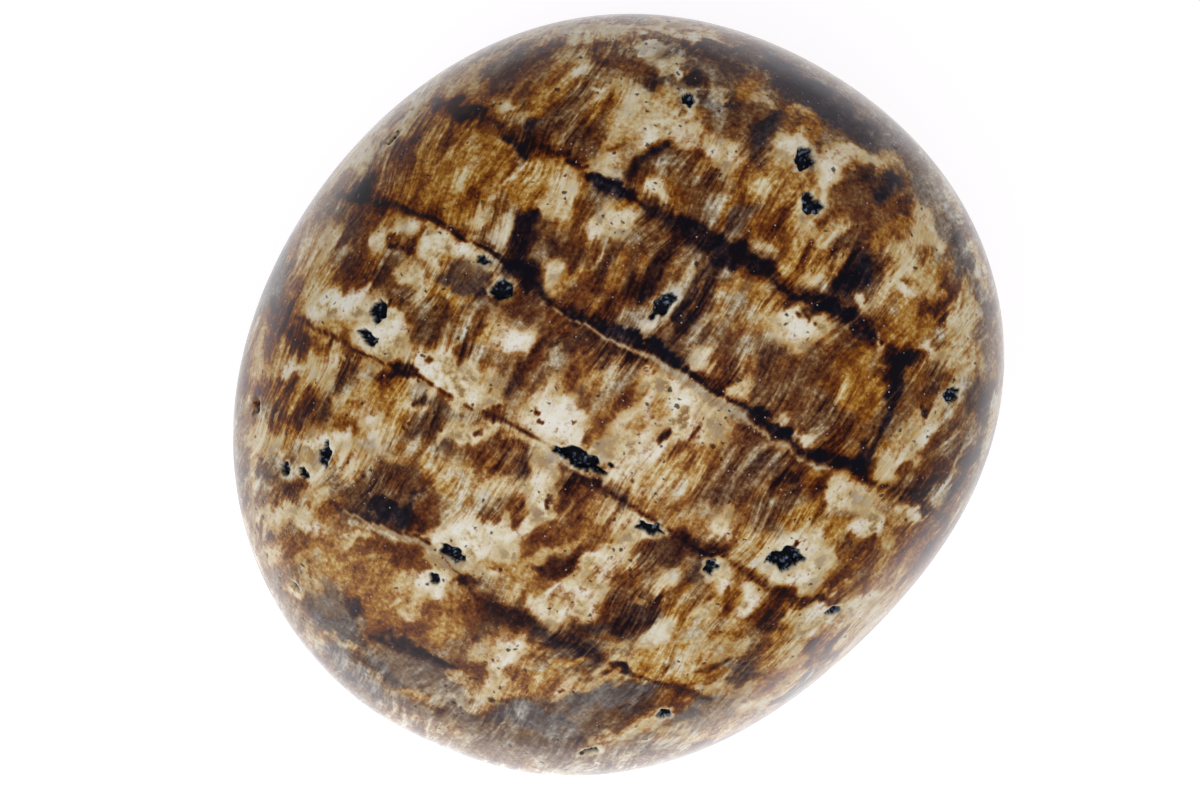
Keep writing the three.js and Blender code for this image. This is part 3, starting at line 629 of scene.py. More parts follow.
        (845, 630, 40, 18, 45), (836, 664, 50, 9, 40), (800, 641, 22, 13, 50), (790, 662, 50, 16, 40),
        (855, 650, 60, 10, 42), (805, 690, 70, 10, 32), (520, 588, 50, 14, 45), (545, 553, 56, 8, 28),
        (500, 540, 40, 18, 30), (705, 652, 50, 24, 30), (728, 630, 40, 18, 50), (670, 673, 28, 10, 10),
        (405, 577, 34, 11, 30), (355, 538, 30, 10, 10), (310, 556, 24, 11, 0), (312, 262, 60, 10, 62),
        (350, 168, 60, 9, 50), (410, 117, 60, 9, 46), (560, 188, 40, 30, 57), (246, 440, 50, 9, 85),
        (735, 648, 40, 14, 20), (590, 556, 40, 16, 50), (780, 160, 24, 20, 60), (818, 240, 30, 12, -60),
        (650, 126, 50, 16, 30),
    )),
    ("chalk", (
        (705, 610, 30, 18, 40), (590, 560, 30, 12, 50), (640, 600, 10, 8, 0), (500, 530, 34, 16, 20),
        (485, 575, 24, 10, 0), (806, 205, 30, 10, 70), (830, 170, 30, 14, -20),
    )),
    ("pale streak", (
        (428, 588, 44, 8, 38), (872, 622, 60, 8, 48), (860, 560, 44, 4, 47), (300, 300, 40, 5, 64),
        (410, 105, 50, 6, 46), (890, 585, 50, 7, 48), (655, 628, 50, 14, 22), (440, 165, 40, 5, 56),
        (600, 590, 34, 5, 57),
    )),
    ("white", (
        (405, 229, 18, 7, 10), (657, 632, 30, 11, 22), (575, 415, 16, 10, 0), (560, 420, 14, 9, 30),
        (500, 246, 8, 6, 0),
    )),
    ("ink", (
        (667, 434, 24, 9, 50), (393, 248, 10, 6, 0), (357, 186, 12, 8, 60), (700, 549, 22, 7, -12),
        (540, 566, 10, 5, 20),
    )),
    ("rust", (
        (290, 325, 60, 26, 65), (318, 352, 30, 14, 60),
    )),
    ("cream", (
        (262, 350, 60, 12, 78), (256, 450, 90, 14, 85), (625, 728, 80, 14, 23), (588, 686, 56, 12, 24),
        (705, 690, 50, 10, 10), (312, 372, 44, 12, 60), (660, 735, 50, 10, 18),
    )),
    ("dove reflection", (
        (240, 450, 120, 14, 88), (606, 702, 110, 20, 16), (250, 520, 60, 14, -76),
        (275, 585, 50, 16, -62), (370, 705, 90, 14, -35), (440, 738, 70, 12, -20),
        (640, 752, 90, 10, 10), (300, 640, 60, 12, -55),
    )),
    ("slate reflection", (
        (268, 288, 70, 10, 68), (606, 697, 90, 18, 15), (548, 722, 50, 14, -10), (630, 692, 50, 14, 20),
        (862, 128, 60, 22, -48), (330, 636, 56, 24, -56), (384, 668, 50, 16, -35),
        (690, 712, 50, 10, 15),
    )),
    ("dusk reflection", (
        (800, 84, 70, 24, -38), (848, 116, 54, 26, -42), (766, 130, 44, 20, 50), (350, 606, 30, 10, -58),
        (468, 680, 40, 9, -22), (884, 186, 28, 20, 20),
    )),
    ("gold", (
        (650, 661, 32, 15, 20), (690, 679, 60, 10, 10), (283, 352, 36, 12, 70), (755, 186, 40, 20, 48),
        (300, 392, 50, 12, 60), (520, 640, 24, 10, 10), (560, 668, 50, 10, 12),
    )),
    ("cream", (
        (787, 143, 20, 26, 70), (800, 232, 34, 20, 50), (797, 110, 34, 8, -10), (905, 255, 50, 16, -60),
        (930, 290, 40, 14, -65), (500, 690, 50, 12, -10), (455, 700, 60, 9, -20),
    )),
    ("dove reflection", (
        (410, 664, 90, 26, -24), (322, 598, 50, 26, -58), (440, 690, 70, 14, -22),
    )),
    ("cream", (
        (335, 642, 56, 8, -22), (305, 575, 40, 12, -60), (460, 676, 40, 10, -22),
    )),
    ("umber", (
        (424, 655, 54, 5, -24), (362, 612, 26, 8, -58), (868, 178, 30, 20, -30),
    )),
    ("amber", (
        (425, 165, 70, 22, 55), (455, 185, 60, 20, 55), (398, 205, 50, 16, 50), (860, 555, 30, 14, 40),
        (905, 585, 60, 16, 50), (838, 525, 34, 16, 50), (770, 655, 40, 20, 45), (835, 628, 24, 14, 10),
    )),
    ("cream", (
        (380, 112, 70, 12, 48), (345, 150, 60, 12, 55), (880, 620, 60, 12, 45), (850, 648, 60, 12, 42),
        (800, 672, 60, 12, 36), (872, 500, 30, 20, 50), (885, 560, 40, 12, 52), (845, 585, 40, 14, 45),
        (893, 535, 40, 10, 55),
    )),
    ("rust", (
        (920, 560, 60, 12, 50), (950, 510, 50, 10, 58), (818, 655, 30, 14, 38),
    )),
    ("umber", (
        (352, 136, 26, 5, 52), (905, 508, 16, 10, 50), (862, 548, 30, 9, 50), (848, 575, 34, 9, 45),
    )),
    ("chalk", (
        (815, 612, 30, 20, 40), (833, 497, 26, 16, 50),
    )),
    ("dove reflection", (
        (800, 60, 160, 12, -33), (868, 112, 80, 12, -48), (918, 168, 70, 12, -56),
        (985, 330, 90, 10, -82), (745, 40, 70, 10, -22),
    )),
    ("umber", (
        (694, 84, 12, 20, 80), (700, 98, 16, 10, 50), (688, 72, 14, 8, -20),
    )),
    ("gold", (
        (903, 322, 50, 20, 86), (538, 182, 62, 22, 57), (545, 98, 44, 14, 42), (903, 328, 34, 14, 86),
        (620, 205, 30, 12, 20),
    )),
    ("cream", (
        (566, 196, 54, 28, 57), (640, 116, 64, 22, 35), (610, 134, 40, 14, 60), (968, 296, 70, 10, -70),
        (976, 342, 60, 12, -80), (690, 135, 40, 16, -30), (605, 95, 40, 10, 30), (845, 265, 30, 10, 60),
    )),
    ("chalk", (
        (596, 168, 20, 10, -10), (655, 128, 34, 14, 30), (668, 72, 20, 10, -20), (786, 150, 14, 22, 80),
    )),
    ("white", (
        (648, 46, 26, 10, -15), (904, 290, 15, 11, 0), (926, 351, 13, 11, 30), (768, 422, 20, 10, 30),
        (790, 442, 24, 9, 50),
    )),
)
SEAMS = (
    # tone, hue, how firm its edges are, then x, y, width along the seam
    # the crown seam
    (0.78, 0.6, 0.0, (
        (436, 100, 6), (470, 113, 9), (500, 126, 9), (525, 140, 9), (550, 152, 7), (572, 159, 6),
        (590, 166, 4),
    )),
    # its middle and right
    (0.88, -0.2, 0.0, (
        (590, 180, 10), (615, 192, 8), (645, 208, 5), (665, 217, 8), (690, 232, 11), (715, 245, 10),
        (745, 262, 12), (775, 280, 7), (795, 298, 8), (830, 306, 8), (860, 322, 6), (890, 346, 5),
        (912, 358, 10),
    )),
    # the main seam
    (0.89, -0.2, 0.0, (
        (343, 195, 6), (370, 202, 8), (400, 209, 8), (425, 217, 9), (445, 226, 6), (470, 241, 4),
        (490, 250, 5), (512, 265, 8), (535, 288, 8), (560, 312, 6), (590, 323, 8), (620, 336, 12),
        (650, 350, 14), (680, 364, 11), (700, 381, 7), (725, 398, 4), (750, 411, 7), (775, 430, 12),
        (800, 453, 8), (835, 465, 7), (862, 471, 8),
    )),
    # the cross vein at the right
    (0.9, -0.3, 0.0, (
        (903, 368, 9), (897, 392, 8), (888, 415, 8), (876, 442, 9), (862, 470, 10),
    )),
    # the lower seam
    (0.76, 0.5, 0.0, (
        (300, 315, 3), (330, 335, 3), (360, 352, 4), (385, 362, 4), (410, 370, 4), (435, 388, 3),
        (460, 402, 3), (485, 414, 3), (510, 424, 3), (545, 442, 2), (565, 466, 3), (590, 478, 4),
        (605, 492, 4), (640, 512, 3), (665, 528, 2), (700, 545, 6), (718, 553, 4), (740, 566, 4),
        (765, 588, 3), (800, 597, 5), (830, 599, 4),
    )),
    # the right seam
    (0.76, 0.5, 0.0, (
        (868, 478, 3), (890, 488, 5), (910, 492, 4), (925, 504, 4), (945, 520, 4),
    )),
    # the belly seam
    (0.76, 0.4, 0.0, (
        (330, 503, 3), (360, 518, 5), (390, 528, 3), (430, 545, 2), (455, 572, 2), (480, 602, 3),
        (505, 612, 5), (530, 624, 5), (560, 634, 6), (590, 654, 5), (610, 665, 2), (650, 678, 2),
        (680, 690, 4), (710, 702, 2),
    )),
    # the low seam
    (0.74, -0.2, 0.0, (
        (372, 636, 2), (400, 650, 4), (430, 660, 4), (455, 668, 2),
    )),
    # two rungs between the crown seam and the main seam
    (0.8, 0.1, 0.0, (
        (680, 232, 8), (668, 255, 6), (655, 280, 5), (640, 300, 4),
    )),
    (0.8, 0.1, 0.0, (
        (722, 262, 4), (710, 285, 6), (695, 310, 5), (680, 330, 6),
    )),
    # the pale lip of the main seam
    (0.3, 0.1, 0.9, (
        (540, 303, 2), (556, 311, 3), (585, 325, 3), (601, 334, 3), (620, 343, 4), (638, 353, 5),
        (660, 363, 7), (676, 372, 9), (689, 382, 10), (705, 394, 11), (718, 404, 11), (734, 413, 9),
        (752, 424, 5), (770, 440, 4), (800, 461, 4), (838, 474, 3),
    )),
    # the pale lip of the belly seam
    (0.32, 0.2, 0.9, (
        (345, 512, 3), (370, 523, 4), (400, 535, 5), (430, 548, 5), (455, 556, 4),
    )),
    # the pale lip of the lower seam
    (0.3, 0.6, 0.9, (
        (330, 350, 4), (352, 364, 3),
    )),
)
PALE_EDGES = (
    # x, y, width along a pale line below a seam
    ((636, 350, 7), (660, 362, 9), (690, 378, 8), (715, 395, 7), (745, 410, 4)),
    ((440, 232, 6), (475, 248, 5), (500, 262, 6)),
    ((480, 420, 3), (530, 434, 5), (560, 448, 5)),
    ((350, 522, 5), (400, 536, 6), (440, 552, 5)),
)

# How each kind of mark is laid. Tone goes from 0, ivory, by way of gold and brown to 1, black. Hue
# goes from -1, blue and grey, by way of 0, plain brown, to 1, amber and rust, and the further out it
# is, the less the stone's grain changes it.
KINDS = {
    # tone, chalkiness, hue, how solid, how soft its edge
    "ochre ground": (0.46, 0.0, 0.5, 0.80, 0.37),
    "chalk": (0.12, 1.0, 0.0, 0.85, 0.38),
    "cream": (0.19, 0.25, 0.6, 0.80, 0.36),
    "honey": (0.27, 0.0, 1.1, 0.80, 0.31),
    "amber": (0.42, 0.0, 1.6, 0.85, 0.31),
    "gold": (0.32, 0.0, 1.9, 0.90, 0.33),
    "rust": (0.62, 0.0, 1.2, 0.85, 0.31),
    "olive": (0.54, 0.0, 0.15, 0.80, 0.33),
    "brown": (0.60, 0.0, 0.6, 0.85, 0.31),
    "umber": (0.75, 0.0, 0.4, 0.85, 0.31),
    # smoke is a grey stain inside the rim and on the far sides and painted reflection along the rim; dove,
    # slate and dusk are painted reflection
    "smoke and reflection": (0.66, 0.0, -0.7, 0.80, 0.41),
    "dove reflection": (0.40, 0.10, -0.5, 0.80, 0.41),
    "slate reflection": (0.46, 0.0, -1.5, 0.80, 0.41),
    "dusk reflection": (0.74, 0.0, -1.2, 0.80, 0.45),
    "ink": (0.92, 0.0, -0.4, 0.88, 0.33),
    "pale streak": (0.14, 0.2, -0.1, 0.80, 0.31),
    "white": (0.06, 0.5, -0.5, 0.90, 0.30),
}
# kinds with a fainter grain than the rest, and how much fainter: the painted reflections are smoothest, like
# haze on a polish
CALM_KINDS = {"smoke and reflection": 0.40, "slate reflection": 0.75, "dove reflection": 0.65, "dusk reflection": 0.5}
FIBRE_BEARING = 57
# 2 would be an ellipse, and more is squarer
OVALNESS = 2.6
# how far from its middle a mark is worked out, as a share of its longer side
MARK_REACH = 0.75
GROUND_TONE, GROUND_HUE = 0.42, 0.2

tone = GROUND_TONE + 0.10 * lumpy(skin, 3.1, 21)
chalk = np.zeros(len(skin))
hue = np.full(len(skin), GROUND_HUE)
calm = np.zeros(len(skin))
patchy = 0.82 + 0.18 * lumpy(skin, 0.7, 22)


def lay(where, cover, kind):
    """Lays one kind of mark over corners, as thickly as cover says."""
    new_tone, new_chalk, new_hue, solid, softness = KINDS[kind]
    cover = cover * solid * patchy[where]
    tone[where] += (new_tone - tone[where]) * cover
    chalk[where] += (new_chalk - chalk[where]) * cover
    hue[where] += (new_hue - hue[where]) * cover
    calm[where] += (CALM_KINDS.get(kind, 0.0) - calm[where]) * cover


def oval(u, v, softness):
    """How far an oval covers places, which are given as shares of its half length and half width."""
    away = (np.abs(u) ** OVALNESS + np.abs(v) ** OVALNESS) ** (1 / OVALNESS)
    return eased(away, 1 + softness, 1 - softness)


def drawn_oval(right, down, drawn, softness):
    """How far an oval drawn in the picture covers places there."""
    x, y, length, width, turn = drawn
    c, s = math.cos(math.radians(turn)), math.sin(math.radians(turn))
    u = ((right - x) * c + (y - down) * s) / (length / 2)
    v = ((y - down) * c - (right - x) * s) / (width / 2)
    return oval(u, v, softness)


# fibres fray every edge along their run, and lumps bend it
DRAWN_OUT = 0.82
FRAYING = ((0.28, 0.30, 31), (0.22, 0.75, 32))
fibre = towards(FIBRE_BEARING, 0)
run = skin @ fibre
frayed = layered(skin - DRAWN_OUT * run[:, None] * fibre, FRAYING)[:, None] * fibre
bent = np.column_stack([layered(skin, ((0.36, 1.5, 33 + way), (0.26, 0.6, 36 + way))) for way in range(3)])
stirred = skin + bent + frayed

# the stone's far sides, which the picture doesn't show, have the same kinds of marks, strewn by chance
facing = np.einsum("ij,ij->i", normals, unit(EYE_PLACE - skin))
seen = eased(facing, 0.05, 0.22)
STREWN = (
    # kind, how many, length and width in millimetres
    ("ochre ground", 46, 5.2, 3.6),
    ("cream", 110, 3.2, 1.2),
    ("chalk", 80, 2.6, 1.8),
    ("amber", 60, 2.6, 1.0),
    ("honey", 60, 2.6, 1.3),
    ("rust", 60, 2.4, 1.1),
    ("brown", 170, 3.0, 1.5),
    ("smoke and reflection", 26, 3.2, 1.8),
    ("umber", 110, 2.2, 0.9),
    ("ink", 34, 1.8, 0.7),
)
HIGHEST_STREWN = 0.55
SPREAD_OF_BEARINGS = 12
SHARE_ACROSS = 0.25
RISE = 0.25
chance = np.random.default_rng(5)
for kind, count, usual_length, usual_width in STREWN:
    softness = KINDS[kind][4]
    for mark in range(count):
        height = chance.uniform(-1.0, HIGHEST_STREWN)
        bearing = chance.uniform(0, 2 * math.pi)
        flat = math.sqrt(1 - height * height)
        aim = np.array([[flat * math.cos(bearing), flat * math.sin(bearing), height]])
        centre = (worn_skin(aim) + set_down)[0]
        normal = skin_normals(aim)[0]
        turn = FIBRE_BEARING + chance.normal(0, SPREAD_OF_BEARINGS)
        if chance.random() < SHARE_ACROSS:
            turn -= 90
        length = usual_length * chance.uniform(0.5, 1.5)
        width = usual_width * chance.uniform(0.5, 1.5)
        along, across = run_and_side(towards(turn, 0) + [0, 0, RISE], normal)
        near = np.flatnonzero(np.linalg.norm(stirred - centre, axis=1) < length)
        offset = stirred[near] - centre
        cover = oval(offset @ along / (length / 2), offset @ across / (width / 2), softness)
        lay(near, cover * (1 - seen[near]), kind)

in_view = np.flatnonzero(seen > 0)
held = seen[in_view]
right, down = seen_at(stirred[in_view])
for kind, marks in MARKS:
    softness = KINDS[kind][4]
    for drawn in marks:
        x, y, length, width, turn = drawn
        reach = MARK_REACH * max(length, width)
        near = np.flatnonzero((np.abs(right - x) < reach) & (np.abs(down - y) < reach))
        cover = drawn_oval(right[near], down[near], drawn, softness)
        lay(in_view[near], cover * held[near], kind)

# where the fibres were stirred up, the stains are clouds
CLOUDED = (
    # x, y, length, width, bearing of the length
    (365, 580, 190, 130, -25), (450, 625, 150, 110, -20), (800, 110, 170, 90, -40), (880, 190, 110, 90, 50),
    (640, 130, 90, 60, 40), (350, 320, 90, 60, 10), (610, 420, 130, 70, 10), (520, 560, 110, 80, 20),
)
CLOUDING = 0.75
FIELD_SOFTNESS = 0.5
combed = np.ones(len(skin))
for drawn in CLOUDED:
    left_combed = 1 - CLOUDING * drawn_oval(right, down, drawn, FIELD_SOFTNESS)
    combed[in_view] = np.minimum(combed[in_view], left_combed)

# iron stained some parts of the stone more warmly than others
WARMED = (
    # how much, then x, y, length, width, bearing of the length
    (0.8, 440, 160, 180, 120, 55), (0.8, 300, 335, 130, 70, 70), (0.6, 790, 215, 100, 90, 55),
    (0.5, 640, 430, 170, 60, -20), (0.6, 400, 580, 140, 70, -20), (0.6, 850, 600, 170, 80, 45),
    (0.5, 545, 560, 120, 70, 20), (0.5, 910, 330, 90, 70, 80), (-0.5, 700, 80, 160, 50, -25),
    (-0.4, 560, 720, 190, 50, 5), (-0.4, 690, 305, 150, 60, 50),
)
for more, *drawn in WARMED:
    hue[in_view] += more * drawn_oval(right, down, drawn, FIELD_SOFTNESS) * (1 - calm[in_view])


# The seams. Each is the edge of a thin dark sheet that runs right through the stone. The ones in
# the picture follow the lines drawn above, and the far sides get tilted sheets at the same bearing.
SEAM_BEARING = -30
SEAM_LEVELS = (16.5, 9.8, 3.0, -4.8, -13.4, -18.2)
SHEET_TILT = 0.12
SEAM_TONE, SEAM_BROWNING = 0.90, 0.16
EDGE_TONE, EDGE_HUE, EDGE_COVER = 0.14, 0.1, 0.8
KNOTS = 0.40
SEAM_BENDING, SEAM_FRAYING = 0.40, 0.15
# where a seam's stain, its pale edge and the seam itself start and end, as shares of its half width
STAIN_OUT, STAIN_IN = 4.0, 1.0
EDGE_OUT, EDGE_IN = 1.6, 0.6
SEAM_OUT, SEAM_IN, FIRM_SEAM_IN = 1.15, 0.15, 0.75


def line_ratio(right, down, line):
    """How far places are from a drawn line, as a share of half its width there."""
    nearest = np.full(len(right), np.inf)
    for (x0, y0, wide0), (x1, y1, wide1) in zip(line, line[1:]):
        run_x, run_y = x1 - x0, y1 - y0
        part = np.clip(((right - x0) * run_x + (down - y0) * run_y) / (run_x ** 2 + run_y ** 2), 0, 1)
        away = np.hypot(right - x0 - part * run_x, down - y0 - part * run_y)
        nearest = np.minimum(nearest, away / (wide0 + (wide1 - wide0) * part) * 2)
    return nearest


little_stirred = skin + SEAM_BENDING * bent + SEAM_FRAYING * frayed
right, down = seen_at(little_stirred[in_view])
for line in PALE_EDGES:
    cover = eased(line_ratio(right, down, line), EDGE_OUT, EDGE_IN) * EDGE_COVER * held
    tone[in_view] += (EDGE_TONE - tone[in_view]) * cover
    hue[in_view] += (EDGE_HUE - hue[in_view]) * cover
for seam_tone, seam_hue, firm, line in SEAMS:
    ratio = line_ratio(right, down, line)
    tone[in_view] += SEAM_BROWNING * (1 - firm) * eased(ratio, STAIN_OUT, STAIN_IN) * held
    knotted = 1.0 + KNOTS * (1 - firm) * lumpy(skin[in_view], 1.1, 43)
    inner = SEAM_IN + (FIRM_SEAM_IN - SEAM_IN) * firm
    cover = eased(ratio, SEAM_OUT * knotted, inner * knotted) * held
    tone[in_view] += (seam_tone - tone[in_view]) * cover
    chalk[in_view] -= chalk[in_view] * cover
    hue[in_view] += (seam_hue - hue[in_view]) * cover
    calm[in_view] += (firm - calm[in_view]) * cover

across_seams = towards(SEAM_BEARING + 90, 0) + [0, 0, SHEET_TILT]
level = (little_stirred - [0, 0, WIDEST_LEVEL]) @ across_seams + 0.8 * lumpy(skin, 6.0, 41)
strength = eased(lumpy(skin, 3.4, 42), -0.75, 0.25) * (1 - seen)
for index, seam_level in enumerate(SEAM_LEVELS):
    width = 0.14 + 0.14 * lumpy(skin, 1.3, 50 + index)
    away = np.abs(level - seam_level)
    tone += SEAM_BROWNING * eased(away, 0.9, 0.25) * strength
    cover = eased(away, width + 0.16, width - 0.12) * strength
    tone += (SEAM_TONE - tone) * cover
    chalk -= chalk * cover

# quartz lined each pit, and shows as a pale ring round it
RING_TONE, RING_CHALK, RING_HUE = 0.08, 0.35, -0.35
pit_ring *= 0.50 + 0.40 * lumpy(skin, 0.5, 44)
tone += (RING_TONE - tone) * pit_ring
chalk += (RING_CHALK - chalk) * pit_ring
hue += (RING_HUE - hue) * pit_ring

# painted sheen: the upright sides are painted a little paler, greyer and plainer than the crown, standing in
# for the grey haze that the polished rim mirrors
SHEEN_PALER, SHEEN_GREYER, SHEEN_PLAINER = 0.04, 0.45, 0.45
rim_sheen_paint = eased(np.abs(normals[:, 2]), 0.42, 0.12)
tone -= SHEEN_PALER * rim_sheen_paint
hue -= SHEEN_GREYER * rim_sheen_paint
calm = np.maximum(calm, SHEEN_PLAINER * rim_sheen_paint)


def keep(name, values):
    """Keeps a value at each corner of the stone, for the finish to read."""
    layer = stone.data.attributes.new(name, "FLOAT", "POINT")
    layer.data.foreach_set("value", values.astype(np.float32))


keep("tone", np.clip(tone, 0, 1.1))
keep("chalk", np.clip(chalk, 0, 1))
keep("hue", hue)
keep("pit", np.clip(PIT_FIRMNESS * in_pit, 0, 1))
keep("calm", calm)
keep("combed", combed)


# The flat map of the stone's surface, for when its colours are baked: two round sheets, a large one
# for the crown and the sides and a small one for the belly. Distance from a sheet's middle is the
# angle from the stone's upright axis.
CROWN_SHEET, BELLY_SHEET, SHEET_MARGIN = 0.40, 0.165, 0.012
CROWN_REACH = math.radians(112)

from_top = np.arccos(np.clip(aims[:, 2], -1, 1))
bearings = np.arctan2(aims[:, 1], aims[:, 0])
on_crown = (from_top[face_corners].mean(axis=1) < CROWN_REACH)[:, None]
belly_reach = math.pi - CROWN_REACH
crown_radius = from_top / CROWN_REACH * CROWN_SHEET
belly_radius = (math.pi - from_top) / belly_reach * BELLY_SHEET
crown_middle = SHEET_MARGIN + CROWN_SHEET
belly_middle = 1 - SHEET_MARGIN - BELLY_SHEET
radius = np.where(on_crown, crown_radius[face_corners], belly_radius[face_corners])
middle = np.where(on_crown, crown_middle, belly_middle)
turned_over = np.where(on_crown, 1, -1)
flat_map = np.stack([
    middle + radius * np.cos(bearings[face_corners]),
    middle + turned_over * radius * np.sin(bearings[face_corners]),
], axis=-1)
uv_map = stone.data.uv_layers.new(name="OFBake")
uv_map.data.foreach_set("uv", flat_map.astype(np.float32).ravel())


# The finish. Silica filled the fibres of the stone, and it took a high polish: gold, brown and
# near-black with fine streaks along the fibres, and duller chalky patches with pinholes. The marks
# above give each place its tone and hue, and fibres, grain and stains stir them.
class Wire:
    """A socket of a finish, so that shader maths reads as plain expressions."""

    def __init__(self, finish, socket):
        self.finish = finish
        self.socket = socket

    def other(self, output):
        """Another output of the same node."""
        return Wire(self.finish, self.socket.node.outputs[output])

    def maths(self, operation, *others):
        return self.finish.add("ShaderNodeMath", {"operation": operation}, [self, *others])

    def __add__(self, other):
        return self.maths("ADD", other)

    def __sub__(self, other):
        return self.maths("SUBTRACT", other)

    def __mul__(self, other):
        return self.maths("MULTIPLY", other)

    def __rsub__(self, other):
        return self.finish.add("ShaderNodeMath", {"operation": "SUBTRACT"}, [other, self])

    __radd__ = __add__
    __rmul__ = __mul__

    def steps(self, start, end, low=0.0, high=1.0, way="SMOOTHSTEP"):
        """Goes smoothly from low to high as this value goes from start to end."""
        return self.finish.add(
            "ShaderNodeMapRange",
            {"interpolation_type": way},
            {"Value": self, "From Min": start, "From Max": end, "To Min": low, "To Max": high},
        )

    def line(self, start, end):
        """Goes evenly from 0 to 1 as this value goes from start to end, and no further."""
        return self.steps(start, end, way="LINEAR")


class Finish:
    """The nodes of a material or of the world, and the one method that adds them."""

    def __init__(self, holder):
        holder.use_nodes = True
        self.tree = holder.node_tree
        self.tree.nodes.clear()

    def add(self, kind, settings=None, values=None, output=0):
        """Adds a node with its settings and then its inputs, and gives one of its outputs."""
        node = self.tree.nodes.new(kind)
        for name, value in (settings or {}).items():
            if name == "stops":
                self.set_stops(node.color_ramp, value)
            else:
                setattr(node, name, value)
        places = values.items() if isinstance(values, dict) else enumerate(values or [])
        for place, value in places:
            socket = node.inputs[place]
            if isinstance(value, Wire):
                self.tree.links.new(value.socket, socket)
            else:
                socket.default_value = value
        return Wire(self, node.outputs[output]) if len(node.outputs) else None

    def set_stops(self, ramp, stops):
        while len(ramp.elements) < len(stops):
            ramp.elements.new(1.0)
        for element, (position, colour) in zip(ramp.elements, stops):
            element.position = position
            element.color = screen_colour(*colour)

    def mix(self, part, first, second):
        """Goes from the first colour to the second; 6, 7 and 2 are a Mix node's colour sockets."""
        settings = {"data_type": "RGBA"}
        return self.add("ShaderNodeMix", settings, {0: part, 6: first, 7: second}, output=2)


def screen_colour(*parts):
    """A colour given as it looks on a screen, 0 to 255, as the light that the shader works with."""
    shares = [part / 255 for part in parts]
    light = [share / 12.92 if share <= 0.04045 else ((share + 0.055) / 1.055) ** 2.4 for share in shares]
    return (*light, 1.0)


PLAIN_STOPS = (
    (0.00, (233, 229, 220)),
    (0.12, (217, 209, 190)),
    (0.25, (188, 170, 140)),
    (0.38, (153, 121, 82)),
    (0.52, (115, 78, 45)),
    (0.66, (81, 48, 30)),
    (0.78, (54, 29, 24)),
    (0.90, (34, 17, 21)),
    (1.00, (14, 11, 20)),
)
RUSTY_STOPS = (
    (0.00, (238, 226, 196)),
    (0.12, (227, 208, 164)),
    (0.25, (205, 167, 95)),
    (0.38, (178, 121, 40)),
    (0.52, (134, 75, 18)),
    (0.66, (98, 45, 11)),
    (0.78, (70, 26, 8)),
    (0.90, (44, 14, 8)),
    (1.00, (22, 9, 8)),
)
BLUISH_STOPS = (
    (0.00, (222, 223, 225)),
    (0.12, (208, 208, 205)),
    (0.25, (176, 172, 166)),
    (0.38, (134, 124, 116)),
    (0.52, (95, 81, 76)),
    (0.66, (63, 51, 55)),
    (0.78, (37, 33, 43)),
    (0.90, (20, 20, 34)),
    (1.00, (9, 11, 25)),
)
CHALK_STOPS = (
    (0.20, (150, 108, 58)),
    (0.34, (200, 167, 106)),
    (0.48, (224, 206, 163)),
    (0.64, (241, 232, 209)),
    (0.85, (250, 248, 240)),
)
# the fibres fan out a little as they run, and wander sideways by a millimetre or so
FAN = 0.007
WANDER = 2.6

polish = bpy.data.materials.new("polished_banded_stone")
finish = Finish(polish)


def kept(name):
    """A value that was kept at the stone's corners."""
    return finish.add("ShaderNodeAttribute", {"attribute_name": name}, output="Fac")


def noise(place, scale, detail, roughness=0.5, output="Fac"):
    """Cloudy noise round 0.5, with as many lumps to a millimetre as its scale says."""
    values = {"Vector": place, "Scale": scale, "Detail": detail, "Roughness": roughness}
    return finish.add("ShaderNodeTexNoise", {}, values, output)


def strewn_grains(place, scale):
    """Grains strewn through the stone: how far places are from a grain's middle, and its chance kinds."""
    grains = finish.add("ShaderNodeTexVoronoi", {}, {"Vector": place, "Scale": scale})
    return grains, finish.add("ShaderNodeSeparateColor", {}, [grains.other("Color")])


in_metres = finish.add("ShaderNodeTexCoord", output="Object")
in_mm = finish.add("ShaderNodeVectorMath", {"operation": "SCALE"}, {"Vector": in_metres, "Scale": 1 / MM})
back_turn = (0, 0, math.radians(-FIBRE_BEARING))
turned = finish.add("ShaderNodeMapping", {"vector_type": "POINT"}, {"Vector": in_mm, "Rotation": back_turn})
along = finish.add("ShaderNodeSeparateXYZ", {}, [turned])
sideways, upwards = along.other("Y"), along.other("Z")
across = sideways - along * sideways * FAN + (noise(in_mm, 0.16, 1.0) - 0.5) * WANDER


def drawn_fibres(stretch, fineness, detail):
    """Streaks that are long where stretch is small, and thin where fineness is large."""
    parts = [along * stretch, across * fineness, upwards * fineness * 0.3]
    return noise(finish.add("ShaderNodeCombineXYZ", {}, parts), 1.0, detail, 0.6) - 0.5


# streaks, mottle, grain and stains, which calm places and chalk hold back by these shares
CALM_MOTTLE, CALM_GRAIN, CALM_FIBRES, CALM_HUE = 0.62, 0.75, 0.70, 0.70
CHALK_FIBRES = 0.65
streaks = drawn_fibres(0.24, 1.7, 3.0)
fine_streaks = drawn_fibres(0.5, 5.5, 2.0)
is_chalk, is_pit, is_calm = kept("chalk"), kept("pit"), kept("calm")
mottle = (noise(in_mm, 1.0, 6.0, 0.66) - 0.5) * (1 - is_calm * CALM_MOTTLE)
grain = (noise(in_mm, 4.2, 3.0, 0.6) - 0.5) * (1 - is_calm * CALM_GRAIN)
stain = noise(in_mm, 0.5, 3.0) - 0.5
swarm = noise(in_mm, 0.7, 1.0).steps(0.42, 0.62)
combing = noise(in_mm, 0.33, 1.0).steps(0.36, 0.62, 0.45, 1.10) * kept("combed")
fibrous = (1 - is_chalk * CHALK_FIBRES) * combing * (1 - is_calm * CALM_FIBRES)

